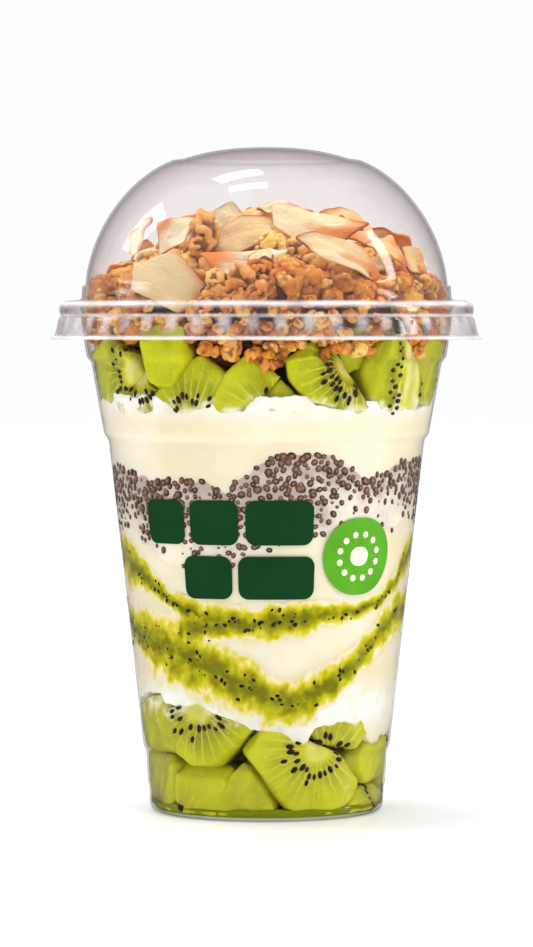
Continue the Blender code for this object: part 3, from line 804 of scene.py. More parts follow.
# Chunks that stand at the wall, as their corners there: azimuth and height, and where a face falls away
# from the wall, how deep that corner lies in millimetres. After the bar is the edge that faces outwards,
# if the chunk shows two of its faces.
BLOCKS = {
    "kiwi_high_01": ([(-78, 109.5), (-62, 113.5), (-50, 109.5), (-47, 105), (-54, 100.5), (-67, 96.5),
                      (-84, 97)], []),
    "kiwi_high_02": ([(-47, 115.5, 3), (-38, 116.5, 3), (-28, 115.5, 2), (-25, 109), (-33, 101),
                      (-41, 100.5, 2), (-49, 106, 3)], [(-43, 112), (-42, 103)]),
    "kiwi_high_03": ([(-66, 98.5), (-54, 104, 2), (-46, 105.5, 2), (-41, 100.5), (-40, 95.5), (-49, 94.5),
                      (-61, 94.5)], []),
    "kiwi_high_04": ([(-22, 109.3, 2.5), (-13, 104.5), (-18, 97), (-30, 94), (-42, 99.5), (-32, 107, 2)], []),
    "kiwi_high_05": ([(-7, 109.3, 2), (5, 104, 2), (-1, 98.5), (-15, 93.5), (-20, 98), (-14, 105)], []),
    "kiwi_high_06": ([(-2, 99.5, 2), (5, 103.7, 2), (14, 98, 2), (12, 95), (-1, 95)], []),
    "kiwi_high_07": ([(15, 112.5, 3), (6, 108, 1), (7, 103.5), (14, 98), (32, 94.5), (38, 97, 1),
                      (33, 102.5, 4), (27, 108.5, 5), (20, 112, 5)], [(14.5, 108.5), (36.5, 96)]),
    "kiwi_high_08": ([(24, 114, 5), (35, 116, 4), (41, 113, 4), (37, 105.5, 4), (30, 104, 5)], []),
    "kiwi_high_09": ([(35, 105, 2), (39, 112, 3), (48, 115, 2), (58, 111, 2), (66, 102), (65, 94.5),
                      (48, 94.5), (38, 98)], [(43, 113), (42, 96)]),
    "kiwi_high_10": ([(59, 112, 3), (68, 115, 2), (80, 112), (86, 100), (78, 95), (69, 97)], []),
    "kiwi_low_10": ([(-68, 28.5), (-56, 29), (-45, 22), (-46, 15.3), (-75, 14.6), (-92, 18), (-92, 26)], []),
    "kiwi_low_11": ([(-52, 26), (-33, 29, 2), (-18, 27, 2), (-3, 23, 3), (-24, 12.3, 3), (-39, 12.4),
                     (-49, 15), (-47, 21)], [(-6, 22), (-26, 13.7)]),
    "kiwi_low_01": ([(-98, 14), (-57, 14.7, 2), (-50, 12.6), (-50, 5), (-57, 0.8), (-98, 1)], []),
    "kiwi_low_02": ([(-52, 13, 4), (-33, 14, 4), (-18, 12.4, 4), (-18, 8.5), (-26, 0.8), (-48, 0.8),
                     (-53, 5)],
                    [(-50, 10), (-20, 9.6)]),
    "kiwi_low_03": ([(-12, 14, 2), (-5, 12.5, 4), (8, 4, 4), (5, 0.8, 3), (-25, 0.8), (-28, 4), (-17, 11.5)],
                    [(-8, 12), (4, 2.8)]),
    "kiwi_low_04": ([(-1, 23.5, 2), (8, 21.5), (37, 15.8), (54, 8.4), (47, 3.4), (34, 0.8), (12, 0.8, 2),
                     (-14, 16.5, 4), (-9, 19.5, 4)], [(-9, 15.8), (0, 21.5), (13, 2.6)]),
    "kiwi_low_12": ([(22, 21, 2), (35, 25, 2), (49, 24), (55, 19.5), (46, 16), (27, 18, 2)], []),
    "kiwi_low_13": ([(44, 14.5, 2), (58, 19, 2), (72, 19), (94, 18), (94, 7.5), (58, 7.5), (47, 11, 2)],
                    [(52, 16), (54, 9)]),
    "kiwi_low_05": ([(44, 3.4), (56, 7.2, 2), (98, 7), (98, 1), (66, 0.8), (45, 0.8)], []),
}

# The core's line through a chunk: azimuth, radius and height of one point on it, then its direction as
# the azimuth and the rise that it points to. A chunk that isn't listed shows plain outer flesh.
CORES = {
    "kiwi_low_02": (-60, 20, -6, -38, 0), "kiwi_low_04": (25, 28, 17.3, 22, 4),
    "kiwi_low_11": (-34, 29, 26.6, -33, 8), "kiwi_low_12": (31, 29, 13.2, 32, 4),
    "kiwi_low_13": (79, 29, 26.5, 80, 0), "kiwi_low_05": (79, 28, 3.5, 78, 30),
    "kiwi_low_14": (120, 29, 22, 120, 0),
    "kiwi_low_07": (150, 27, 10, 150, 10), "kiwi_low_16": (214, 29, 15, 214, 5),
    "kiwi_low_09": (243, 27, 12, 240, 20), "kiwi_low_17": (258, 29, 25, 255, 0),
    "kiwi_high_01": (-49, 41, 105, -56, 0), "kiwi_high_03": (-49, 40, 105, -48, 0),
    "kiwi_high_04": (-27, 38, 92, -24, 10), "kiwi_high_05": (5.5, 39, 92.5, -2, 8),
    "kiwi_high_07": (29.5, 40, 107.5, 34, 10), "kiwi_high_09": (57, 40, 103, 40, 78),
    "kiwi_high_10": (95, 40, 104, 90, 0), "kiwi_high_12": (108, 41, 108, 108, 0),
    "kiwi_high_13": (138, 41, 98, 138, 0), "kiwi_high_14": (172, 41, 104, 172, 80),
    "kiwi_high_16": (228, 41, 110, 228, 0), "kiwi_high_17": (262, 41, 100, 264, 10),
    "kiwi_high_11": (-16, 34, 96, -16, 0), "kiwi_high_08": (58, 40, 116, 36, 20),
}
FRUIT_RADIUS = 26
FRUIT_SQUASH = 0.86
SEED_ROWS = 30


def fruit_frame(node, chance):
    """The fruit's own frame for a chunk: Z runs along the core, and X across the broad side."""
    if node in CORES:
        azimuth, radius, height, turn, rise = CORES[node]
        place = at(azimuth, radius, height)
    else:
        low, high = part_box(node)
        middle = (low + high) / 2
        away = Vector((middle.x, middle.y, 0)).normalized()
        place = middle - away * 15 * MM + Vector((0, 0, chance.choice((-1, 1)) * 13 * MM))
        turn = math.degrees(math.atan2(middle.x, -middle.y)) + chance.uniform(-60, 60)
        rise = chance.uniform(30, 80)
    flat = at(turn, 1, 0).normalized()
    core = (flat * math.cos(math.radians(rise)) + Vector((0, 0, math.sin(math.radians(rise))))).normalized()
    broad = core.orthogonal().normalized()
    broad.rotate(Matrix.Rotation(chance.uniform(0, math.pi), 3, core))
    frame_matrix = Matrix((broad, core.cross(broad), core)).transposed().to_4x4()
    frame_matrix.translation = place
    return frame_matrix


def rounded_chunk(node, voxel, chance):
    """A chunk with its knife-cut edges softened, its outer face pressed flat against the plastic and a
    slightly uneven cut."""
    bm = bmesh.new()
    if node in BLOCKS:
        corners, edge = BLOCKS[node]
        middle = np.mean([corner[:2] for corner in corners], axis=0)
        for azimuth, height, *depth in corners:
            depth = depth[0] if depth else 0.9
            bm.verts.new(at(azimuth, inside_radius(height) - depth, height))
            for share, inward in ((0.86, depth * 0.1 if depth < 1.5 else depth), (0.8, 15)):
                turn, level = middle + (np.array((azimuth, height)) - middle) * share
                bm.verts.new(at(turn, inside_radius(level) - inward, level))
        for azimuth, height in edge:
            bm.verts.new(at(azimuth, inside_radius(height) - 0.1, height))
    else:
        low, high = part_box(node)
        middle = (low + high) / 2
        for vertex in frame["nodes"][node].data.vertices:
            bm.verts.new(middle + (vertex.co - middle) * 0.97)
    bmesh.ops.convex_hull(bm, input=bm.verts[:])
    block = bpy.data.meshes.new("block")
    bm.to_mesh(block)
    bm.free()
    copy = bpy.data.objects.new("chunk", block)
    bpy.context.scene.collection.objects.link(copy)
    for kind, settings in (("REMESH", {"mode": "VOXEL", "voxel_size": voxel}),
                           ("SMOOTH", {"factor": 0.5, "iterations": 2})):
        step = copy.modifiers.new(kind, kind)
        for key, value in settings.items():
            setattr(step, key, value)
    graph = bpy.context.evaluated_depsgraph_get()
    mesh = bpy.data.meshes.new_from_object(copy.evaluated_get(graph))
    bpy.data.objects.remove(copy)
    count = len(mesh.vertices)
    points = np.zeros(count * 3)
    mesh.vertices.foreach_get("co", points)
    points = points.reshape(-1, 3)
    offset = Vector([chance.uniform(-9, 9) for _ in range(3)])
    for i in range(count):
        point = Vector(points[i])
        waver = 0.22 * noise.noise(point / (4.5 * MM) + offset)
        waver += 0.07 * noise.noise(point / (1.2 * MM) + offset)
        point += mesh.vertices[i].normal * waver * MM
        radius, height = math.hypot(point.x, point.y) / MM, point.z / MM
        wall = inside_radius(height)
        near = min(1.0, max(0.0, 1 - (wall - radius - 0.2) / 1.3))
        if radius > 15 and near > 0:
            target = wall + 0.13 + 0.03 * noise.noise(point / (3 * MM))
            moved = radius + (target - radius) * near * near * (3 - 2 * near)
            point.x, point.y = point.x * moved / radius, point.y * moved / radius
        point.z = max(point.z, (1.65 if radius < 23.8 else 0.95) * MM)
        points[i] = point
    mesh.vertices.foreach_set("co", points.ravel())
    mesh.update()
    return mesh, points


def kiwi_flesh():
    """Colours the flesh from the place in the fruit, in millimetres from its core."""
    group = bpy.data.node_groups.new("kiwi_fruit", "ShaderNodeTree")
    group.interface.new_socket("Place", in_out="INPUT", socket_type="NodeSocketVector")
    group.interface.new_socket("Colour", in_out="OUTPUT", socket_type="NodeSocketColor")
    group.interface.new_socket("Height", in_out="OUTPUT", socket_type="NodeSocketFloat")
    source = add_node(group, "NodeGroupInput").outputs[0]
    out = add_node(group, "NodeGroupOutput")
    split = add_node(group, "ShaderNodeSeparateXYZ", {0: source})
    flat = add_node(group, "ShaderNodeCombineXYZ", {0: split.outputs[0], 1: split.outputs[1]}).outputs[0]
    reach = add_node(group, "ShaderNodeVectorMath", {0: flat}, operation="LENGTH").outputs["Value"]
    round_ = add_node(group, "ShaderNodeVectorMath", {0: flat}, operation="NORMALIZE").outputs[0]
    spread = add_node(group, "ShaderNodeVectorMath", {0: round_}, operation="SCALE", Scale=5.2).outputs[0]
    along = calc(group, "MULTIPLY", split.outputs[2], 0.12)
    lift = calc(group, "ADD", calc(group, "MULTIPLY", reach, 0.035), along)
    upward = add_node(group, "ShaderNodeCombineXYZ", {2: lift}).outputs[0]
    streaks = add_node(group, "ShaderNodeVectorMath", {0: spread, 1: upward}, operation="ADD").outputs[0]
    fine = texture(group, 2.6, 2.0, 0.5, streaks)
    cloud = texture(group, 0.22, 3.0, 0.5, source)
    out_from_core = calc(group, "DIVIDE", reach, FRUIT_RADIUS)
    base = ramp(group, out_from_core,
                [(0.0, srgb(236, 228, 150)), (0.12, srgb(232, 224, 138)), (0.15, srgb(196, 194, 50)),
                 (0.2, srgb(108, 112, 4)), (0.34, srgb(118, 124, 0)), (0.48, srgb(160, 166, 0)),
                 (0.72, srgb(188, 192, 4)), (0.92, srgb(178, 182, 0)), (1.0, srgb(146, 152, 0))])
    # Pale rays run out between the seeds: the angle round the core is cut into as many steps.
    turn = calc(group, "ARCTAN2", split.outputs[1], split.outputs[0])
    bend = calc(group, "MULTIPLY_ADD", texture(group, 0.35, 2.0, 0.5, source), 0.1, turn)
    rays = calc(group, "PINGPONG", calc(group, "MULTIPLY", bend, SEED_ROWS / (2 * math.pi)), 0.5)
    ray_zone = ramp(group, out_from_core, [(0.1, 0), (0.16, 0.95), (0.36, 0.8),
                                           (0.62, 0.12)])
    ray_lines = ramp(group, rays, [(0.34, 0), (0.46, 1)])
    uneven = ramp(group, fine, [(0.35, 0.35), (0.6, 1)])
    share = calc(group, "MULTIPLY", ray_zone, ray_lines)
    share = calc(group, "MULTIPLY", share, uneven)
    flesh = mix(group, share, base, srgb(222, 222, 90))
    dark = ramp(group, fine, [(0.3, 0.5), (0.5, 0)])
    dark_share = calc(group, "MULTIPLY", dark, ray_zone)
    flesh = mix(group, dark_share, flesh, srgb(84, 96, 2))
    soft = ramp(group, cloud, [(0.38, 0), (0.72, 0.7)])
    flesh = mix(group, soft, flesh, srgb(206, 206, 14))
    speck = ramp(group, texture(group, 1.1, 1.0, 0.5, source), [(0.7, 0), (0.76, 0.5)])
    flesh = mix(group, speck, flesh, srgb(234, 230, 120))
    group.links.new(flesh, out.inputs[0])
    group.links.new(rays, out.inputs[1])
    made, shader = principled("cut_kiwi_flesh", Roughness=0.2, Subsurface_Weight=0.25, Subsurface_Scale=0.003,
                              Subsurface_Radius=(1.0, 1.0, 0.1), Specular_IOR_Level=0.3, Coat_Weight=0.45,
                              Coat_Roughness=0.08, IOR=1.4)
    place = attribute(made, "fruit", "Vector")
    fruit = add_node(made, "ShaderNodeGroup", {}, node_tree=group)
    made.node_tree.links.new(place, fruit.inputs[0])
    smear = attribute(made, "smear")
    # Painted light: each chunk's stored share lightens its flesh towards yellow-green.
    colour = mix(made, attribute(made, "painted_lift"), fruit.outputs[0], srgb(240, 236, 70))
    colour = mix(made, smear, colour, srgb(250, 246, 214))
    feed(shader, Base_Color=colour)
    pulp = texture(made, 900, 4, 0.6)
    both = calc(made, "ADD", fruit.outputs[1], pulp)
    feed(shader, Normal=bump(made, both, 0.5, 0.0004))
    return made


flesh_look = kiwi_flesh()
seed_turn = 2 * math.pi / SEED_ROWS
kiwi_seed = seed_shape([math.radians(a) for a in (34, 72, 115)], 7)
seed_places = []


def surface(mesh):
    return BVHTree.FromPolygons([v.co for v in mesh.vertices], [p.vertices for p in mesh.polygons])


def place_seeds(mesh, fruit, chance):
    """Finds where a chunk's surface cuts through the ring of seeds, and sinks a seed in at each such
    place with its point towards the core."""
    tree = surface(mesh)
    back = fruit.inverted()
    corners = [back @ v.co for v in mesh.vertices]
    low, high = min(c.z for c in corners), max(c.z for c in corners)
    for k in range(SEED_ROWS):
        z = low - 1 * MM
        while z < high:
            z += chance.uniform(1.2, 2.0) * MM
            reach = chance.choice((5.9, 7.4, 7.6, 9.0)) * MM + chance.uniform(-0.3, 0.3) * MM
            turn = k * seed_turn + chance.uniform(-0.15, 0.15) * seed_turn
            local = Vector((reach * math.cos(turn), FRUIT_SQUASH * reach * math.sin(turn), z))
            spot = fruit @ local
            hit, normal, _, distance = tree.find_nearest(spot)
            if distance > 1.0 * MM:
                continue
            outward = (fruit.to_3x3() @ Vector((local.x, local.y, 0))).normalized()
            along = (outward - normal * outward.dot(normal))
            if along.length < 0.25:
                along = normal.orthogonal()
            along.normalize()
            turned_to = Matrix((along, normal.cross(along), normal)).transposed().to_4x4()
            size = chance.uniform(0.85, 1.1)
            scale = Matrix.Diagonal((1.04 * size * MM, 0.66 * size * MM, 0.5 * size * MM, 1))
            sink = chance.uniform(0.12, 0.3) * MM
            seed_places.append(Matrix.Translation(hit - normal * sink) @ turned_to @ scale)


for node in sorted(frame["nodes"]):
    if not node.startswith("kiwi_"):
        continue
    chance = random.Random(node)
    mesh, points = rounded_chunk(node, (0.8 if node in BLOCKS else 1.15) * MM, chance)
    fruit = fruit_frame(node, chance)
    back = np.array(fruit.inverted())
    local = (points @ back[:3, :3].T + back[:3, 3]) / MM
    local[:, 1] /= FRUIT_SQUASH
    add_attribute(mesh, "fruit", local)
    smears = []
    for x, y, z in points:
        azimuth, height = math.degrees(math.atan2(x, -y)), z / MM
        edge = (1 - (height - 93.5) / 5) if height > 60 else (height - 24) / 6
        cloud = 1.1 * wobble(azimuth, height, 3, 31) + 0.6 * wobble(azimuth, height, 1.2, 37)
        smears.append(min(0.9, max(0.0, edge + cloud)) if edge > -0.3 else 0.0)
    add_attribute(mesh, "smear", smears)
    # Painted light: the low chunks, which the lamps light less, are lightened much more than the high ones.
    # The amount also differs at random from chunk to chunk.
    painted_lift = chance.uniform(0.2, 0.42) if node.startswith("kiwi_low") else chance.uniform(0, 0.14)
    add_attribute(mesh, "painted_lift", [painted_lift] * len(points))
    new_piece("chunk_" + node, mesh, flesh_look, [node])
    if node in CORES:
        place_seeds(mesh, fruit, chance)

# A thin layer of green juice between the lowest chunks. It serves as painted shade that darkens the bottom of
# the cup.
juice_shade_look, _ = principled("kiwi_juice", Base_Color=srgb(132, 138, 8), Roughness=0.12, IOR=1.36,
                           Subsurface_Weight=0.3, Subsurface_Scale=0.003, Subsurface_Radius=(1.0, 1.0, 0.1))
JUICE_SHADE = [(0, 1.7), (23.3, 1.7), (24.3, 0.85), (26.4, 0.85), (27.5, 2.1), (27.55, 2.7), (20, 2.6), (0, 2.6)]


def juice_level(azimuth, radius, height):
    """Lets the surface of the juice rise and fall a little."""
    return radius, height + (0.7 * wobble(azimuth, 4, 7, 51) if height > 2.5 else 0)


new_piece("kiwi_juice", turned("kiwi_juice", JUICE_SHADE, 160, juice_level), juice_shade_look)

# The seeds of the puree lie anywhere in its streaks, smaller because they are sunk in it.
rng = random.Random(77)
for name, curve in streak_curves.items():
    first, last, count = (-41, -24, 4) if name == "puree_link" else (0, 360, 150)
    for _ in range(count):
        azimuth = rng.uniform(first, last)
        middle, breadth = curve(azimuth)
        height = middle + rng.gauss(0, 0.22) * breadth
        size = rng.choice((0.5, 0.75, 0.95, 1.05))
        sizes = (0.86 * size, 0.6 * size, 0.42)
        seed_places.append(facing_out(azimuth, height, 0.02, sizes, rng.uniform(0, 3.1)))

seed_skin, shader = principled("kiwi_seed_skin", Roughness=0.18, IOR=1.45, Coat_Weight=0.3)
tone = ramp(seed_skin, texture(seed_skin, 500, 2), [(0.4, srgb(22, 14, 12)), (0.65, srgb(58, 36, 26))])
feed(shader, Base_Color=tone)
new_piece("kiwi_seeds", stamp("kiwi_seeds", kiwi_seed, seed_places), seed_skin)

# ---- Coconut chips ------------------------------------------------------------------------------
# Broad shavings of coconut, toasted: thin, dry and curled, pale cream in the middle and browned along
# their edges, with a darker line where the brown skin of the nut is left on one side.


def chip_axes(node):
    """A chip's middle, its directions of length, breadth and thickness, and its sizes, from its solid."""
    corners = np.array([v.co for v in frame["nodes"][node].data.vertices])
    middle = corners.mean(0)
    _, _, axes = np.linalg.svd(corners - middle)
    if np.linalg.det(axes) < 0:
        axes[2] *= -1
    local = (corners - middle) @ axes.T
    ends = local[np.abs(local[:, 0]) > 0.8 * np.abs(local[:, 0]).max(), 2].mean()
    centre = local[np.abs(local[:, 0]) < 0.25 * np.abs(local[:, 0]).max(), 2].mean()
    return middle, axes, np.ptp(local, axis=0), centre - ends


def flake_mesh(name, middle, axes, half_sizes, sag, seed, rings=12, spokes=72):
    """One curled shaving: a rounded polygon with a few blunt corners, thinner towards its edge."""
    chance = random.Random(seed)
    corners = chance.choice((4, 4, 5, 6))
    turns = sorted((k + chance.uniform(-0.3, 0.3)) * 2 * math.pi / corners for k in range(corners))
    reaches = [chance.uniform(0.84, 1.16) for _ in turns]
    drift = Vector([chance.uniform(-20, 20) for _ in range(3)])
    start = chance.uniform(0, 6.28)
    tips = [Vector((r * math.cos(t + start), r * math.sin(t + start))) for t, r in zip(turns, reaches)]

    def rim(turn):
        """How far the outline lies from the middle at a turn."""
        way = Vector((math.cos(turn), math.sin(turn)))
        best = 9.0
        for one, other in zip(tips, tips[1:] + tips[:1]):
            side = other - one
            normal = Vector((side.y, -side.x)).normalized()
            facing = normal.dot(way)
            if facing > 0.05:
                best = min(best, normal.dot(one) / facing)
        torn = 0.05 * noise.noise(Vector((way.x * 3, way.y * 3, seed)))
        torn += 0.025 * noise.noise(Vector((way.x * 11, way.y * 11, seed)))
        return min(best, 1.08) * (1 + torn)

    twist, skin_turn, toast_turn = chance.uniform(-0.3, 0.3), chance.uniform(0, 6.28), chance.uniform(0, 6.28)
    points, browned, skin, grain = [], [], [], []
    rims = [rim(2 * math.pi * i / spokes) for i in range(spokes)]
    rims = [(rims[i - 1] + 3 * rims[i] + rims[(i + 1) % spokes]) / 5 for i in range(spokes)]
    for side in (1, -1):
        for k in range(1, rings + 1):
            for i in range(spokes):
                turn = 2 * math.pi * i / spokes
                reach = rims[i] * (k / rings) ** 0.8
                u, v = reach * math.cos(turn), reach * math.sin(turn)
                curl = 1.35 * sag * (0.5 - u * u) + twist * half_sizes[0] * u * v * 0.3
                curl += 0.2 * half_sizes[1] * (v * v - 0.3) * (1 if sag >= 0 else -1)
                curl += 0.0010 * noise.noise(drift + Vector((u * 2, v * 1.6, 9)))
                thick = 0.0004 * (1 - 0.5 * (k / rings) ** 6)
                place = np.array((half_sizes[0] * u, half_sizes[1] * v, curl + side * thick))
                points.append(middle + place @ axes)
                cloud = noise.noise(drift + Vector((u * 1.4, v * 1.4, 4)))
                end = math.cos(turn - toast_turn) * reach
                browned.append(min(1.0, max(0.0, (k / rings) ** 6 * 0.6 + 0.85 * (end - 0.2) + 1.1 * cloud)))
                skin.append(max(0.0, (k / rings) ** 14 * min(1.0, 2.5 * math.cos(turn - skin_turn) - 1)))
                grain.append((u * half_sizes[0] / MM * 0.3, v * half_sizes[1] / MM * 2.2, seed))
    faces = []
    for side in (0, 1):
        base = side * rings * spokes
        centre = 2 * rings * spokes + side
        for i in range(spokes):
            j = (i + 1) % spokes
            faces.append((centre, base + i, base + j) if side == 0 else (centre, base + j, base + i))
            for k in range(rings - 1):
                ring = (base + k * spokes + i, base + (k + 1) * spokes + i,
                        base + (k + 1) * spokes + j, base + k * spokes + j)
                faces.append(ring if side == 0 else tuple(reversed(ring)))
    outer = (rings - 1) * spokes
    for i in range(spokes):
        j = (i + 1) % spokes
        faces.append((outer + i, rings * spokes + outer + i, rings * spokes + outer + j, outer + j))
    for side in (1, -1):
        points.append(middle + np.array((0, 0, 1.35 * sag * 0.5 + side * 0.0004)) @ axes)
        browned.append(0.1)
        skin.append(0.0)
        grain.append((0, 0, seed))
    mesh = mesh_of(name, points, faces)
    add_attribute(mesh, "browned", browned)
    add_attribute(mesh, "skin", skin)
    add_attribute(mesh, "grain", np.array(grain))
    add_attribute(mesh, "toast", [chance.uniform(0, 0.9) ** 1.5] * len(points))
    return mesh


def toasted_coconut():
    """Fibres run along each shaving, in colour and as fine ridges."""
    made, shader = principled("toasted_coconut", Roughness=0.42, Subsurface_Weight=0.25,
                              Subsurface_Scale=0.002, Subsurface_Radius=(1.0, 0.6, 0.3), IOR=1.42)
    browned = attribute(made, "browned")
    toast = attribute(made, "toast")
    fibres = texture(made, 1.0, 4, 0.6, attribute(made, "grain", "Vector"), 0.6)
    base = ramp(made, fibres, [(0.3, srgb(255, 224, 150)), (0.58, srgb(255, 250, 226))])
    base = mix(made, toast, base, srgb(255, 198, 108))
    brown = ramp(made, browned, [(0.05, 0), (0.5, 0.6), (1.0, 0.95)])
    base = mix(made, brown, base, srgb(238, 132, 46))
    base = mix(made, attribute(made, "skin"), base, srgb(160, 62, 38))
    feed(shader, Base_Color=base)
    pits = calc(made, "ADD", fibres, texture(made, 900, 5, 0.7))
    feed(shader, Normal=bump(made, pits, 0.8, 0.0004))
    return made


coconut_look = toasted_coconut()
TOWARDS_FRONT = {"coconut_chip_01": 30, "coconut_chip_02": 22, "coconut_chip_07": 16, "coconut_chip_09": 14,
                 "coconut_chip_03": 12, "coconut_chip_08": 12}
# How far some chips lie outwards and down from their solids, in millimetres.
SHIFTED = {"coconut_chip_01": (3.6, 4.0), "coconut_chip_02": (0, 1.6), "coconut_chip_03": (0, 2.2)}
WIDENED = {"coconut_chip_01": 1.3}
for index, node in enumerate(sorted(n for n in frame["nodes"] if n.startswith("coconut_chip"))):
    middle, axes, size, sag = chip_axes(node)
    outward, down = SHIFTED.get(node, (0, 0))
    share = outward * MM / math.hypot(middle[0], middle[1])
    middle = middle + np.array((middle[0] * share, middle[1] * share, -down * MM))
    lift = math.radians(TOWARDS_FRONT.get(node, 0))
    options = [axes @ np.array(Matrix.Rotation(lift * way, 3, Vector(axes[0]))).T for way in (1, -1)]
    axes = max(options, key=lambda option: abs(option[2] @ np.array((0, -1, 0.2))))
    half_sizes = size[:2] * np.array((0.55, 0.62)) * WIDENED.get(node, 1)
    flake = flake_mesh("flake_" + node, middle, axes, half_sizes, sag, index + 400)
    new_piece("flake_" + node, flake, coconut_look, [node])

# Smaller broken shavings between them: azimuth, radius, height, half length and half breadth.
SMALL_FLAKES = [(-20, 8, 142.5, 5.5, 3), (20, 10, 143, 6, 2.6), (62, 22, 139, 5, 3.6), (-95, 30, 134, 6, 4),
                (88, 36, 131.5, 5.5, 4), (-2, 32, 131.5, 4, 2.4), (-75, 36, 129, 5, 3.6),
                (140, 26, 138.5, 6, 4),
                (190, 18, 140.5, 6, 4), (230, 30, 136, 6, 4), (165, 34, 133, 6, 4), (45, 33, 130, 4.4, 3)]
for index, (azimuth, radius, height, length, breadth) in enumerate(SMALL_FLAKES):
    chance = random.Random(index + 60)
    axes = np.array((Matrix.Rotation(math.radians(azimuth + chance.uniform(-60, 60)), 3, "Z")
                     @ Matrix.Rotation(chance.uniform(0.3, 1.1), 3, "X")).transposed())
    flake = flake_mesh("small_flake", np.array(at(azimuth, radius, height)), axes,
                       np.array((length, breadth)) * MM, chance.uniform(-1.2, 1.2) * MM, index + 500, 8, 48)
    new_piece("small_flake_%02d" % (index + 1), flake, coconut_look)

# ---- Granola ------------------------------------------------------------------------------------
# Oat clusters and walnut pieces baked in honey, poured over the fruit. A cluster is a knot of round
# nodules and a walnut has winding folds, with painted shade in their creases. They lie on a smaller core,
# coloured dark brown as painted shade, which shows only as dark gaps.


def heap_height(x, y):
    """The heap's surface in millimetres: a low mound with a few hills."""
    reach = math.hypot(x, y) / 42
    lumps = 2.2 * noise.noise(Vector((x / 15, y / 15, 3.3))) + 1.2 * noise.noise(Vector((x / 6, y / 6, 8)))
    return 125.5 + 13.0 * math.cos(min(1.0, reach) * math.pi / 2) ** 0.9 + lumps


def any_turn(chance):
    axis = Vector([chance.gauss(0, 1) for _ in range(3)]).normalized()
    return Matrix.Rotation(chance.uniform(0, 2 * math.pi), 4, axis)


def knot(seed, subdivisions, folds, links, thickness, stretch):
    """A unit piece covered by folds. Each is a row of round nodules that winds over it, and one of a
    single link is a lone nodule; sharp creases are left where folds meet. Returns the piece's points,
    its faces and how deep each point lies in a crease, which sets how much painted shade it gets."""
    chance = random.Random(seed)
    centres, radii = [], []
    for k in range(folds):
        rise = 1 - 2 * (k + 0.5) / folds
        around = 2.4 * k + chance.uniform(-0.3, 0.3)
        flat = math.sqrt(1 - rise * rise)
        way = Vector((flat * math.cos(around), flat * math.sin(around), rise))
        heading = way.orthogonal().normalized()
        heading.rotate(Matrix.Rotation(chance.uniform(0, 6.28), 3, way))
        thick = chance.uniform(*thickness)
        peak = chance.uniform(0.86, 1.08)
        for _ in range(links):
            centres.append(way * (peak - thick))
            radii.append(thick)
            step = Matrix.Rotation(0.2, 3, way.cross(heading))
            way, heading = step @ way, step @ heading
            heading.rotate(Matrix.Rotation(chance.uniform(-0.5, 0.5), 3, way))
    bm = bmesh.new()
    bmesh.ops.create_icosphere(bm, subdivisions=subdivisions, radius=1)
    ways = np.array([vertex.co.normalized() for vertex in bm.verts])
    faces = [tuple(v.index for v in face.verts) for face in bm.faces]
    bm.free()
    centres, radii = np.array(centres), np.array(radii)
    along = ways @ centres.T
    depth = radii ** 2 - (centres ** 2).sum(1) + along ** 2
    reaches = np.where(depth > 0, along + np.sqrt(np.maximum(depth, 0)), 0)
    peaks = (np.linalg.norm(centres, axis=1) + radii)[reaches.argmax(1)]
    reach = np.maximum(reaches.max(1), 0.62)
    crease_shades = np.clip((peaks - reach) / 0.3, 0, 1)
    reach *= [1 + 0.05 * noise.noise(Vector(way) * 5 + Vector((seed, 0, 0))) for way in ways]
    return ways * reach[:, None] * np.array(stretch), faces, crease_shades


def granola_look(name, deep, middle, pale):
    made, shader = principled(name, Roughness=0.36, Coat_Weight=0.5, Coat_Roughness=0.12, IOR=1.45,
                              Subsurface_Weight=0.12, Subsurface_Scale=0.0015,
                              Subsurface_Radius=(1, 0.5, 0.2))
    toast = attribute(made, "toast")
    patch = texture(made, 320, 4, 0.6)
    both = calc(made, "ADD", toast, patch)
    colour = ramp(made, calc(made, "MULTIPLY", both, 0.5), [(0.2, deep), (0.46, middle), (0.72, pale)])
    # Painted shade: the creases of each piece are darkened towards the deep colour.
    crease_shades = ramp(made, attribute(made, "crease_shade"), [(0.35, 0), (0.95, 0.85)])
    colour = mix(made, crease_shades, colour, deep)
    feed(shader, Base_Color=colour)
    feed(shader, Normal=bump(made, texture(made, 1500, 5, 0.65), 0.35, 0.0004))
    return made


def apart(spot, size, others, packing):
    """Whether a piece lies clear of the others. They may overlap more the smaller the packing is."""
    return all((spot - other).length > (size + other_size) * packing for other, other_size in others)


def heap_places(count, seed, size_low, size_high, keep, sunk=0.0, packing=0.72):
    """Places over the heap and down its side inside the cup: each is a place and a size in millimetres.
    They can lie sunk under its surface, and overlap more the smaller the packing is."""
    chance = random.Random(seed)
    placed = []
    for _ in range(30000):
        if len(placed) == count:
            break
        size = chance.uniform(size_low, size_high)
        azimuth = chance.uniform(0, 360)
        if chance.random() < 0.5:
            height = chance.uniform(106, 127)
            wall = inside_radius(height) if height < 118 else 43.2 - max(0.0, height - 122) * 0.25
            spot = at(azimuth, wall - 0.86 * size - sunk, height) / MM
        else:
            flat = at(azimuth, 37 * math.sqrt(chance.random()), 0) / MM
            spot = Vector((flat.x, flat.y, heap_height(flat.x, flat.y) - 0.5 * size - sunk))
        if keep(spot, size) and apart(spot, size, placed, packing):
            placed.append((spot, size))
    return placed


chunk_trees = [surface(piece.data) for piece in bpy.data.objects if piece.name.startswith("chunk_kiwi_high")]
flake_trees = [surface(piece.data) for piece in bpy.data.objects if "flake_" in piece.name]


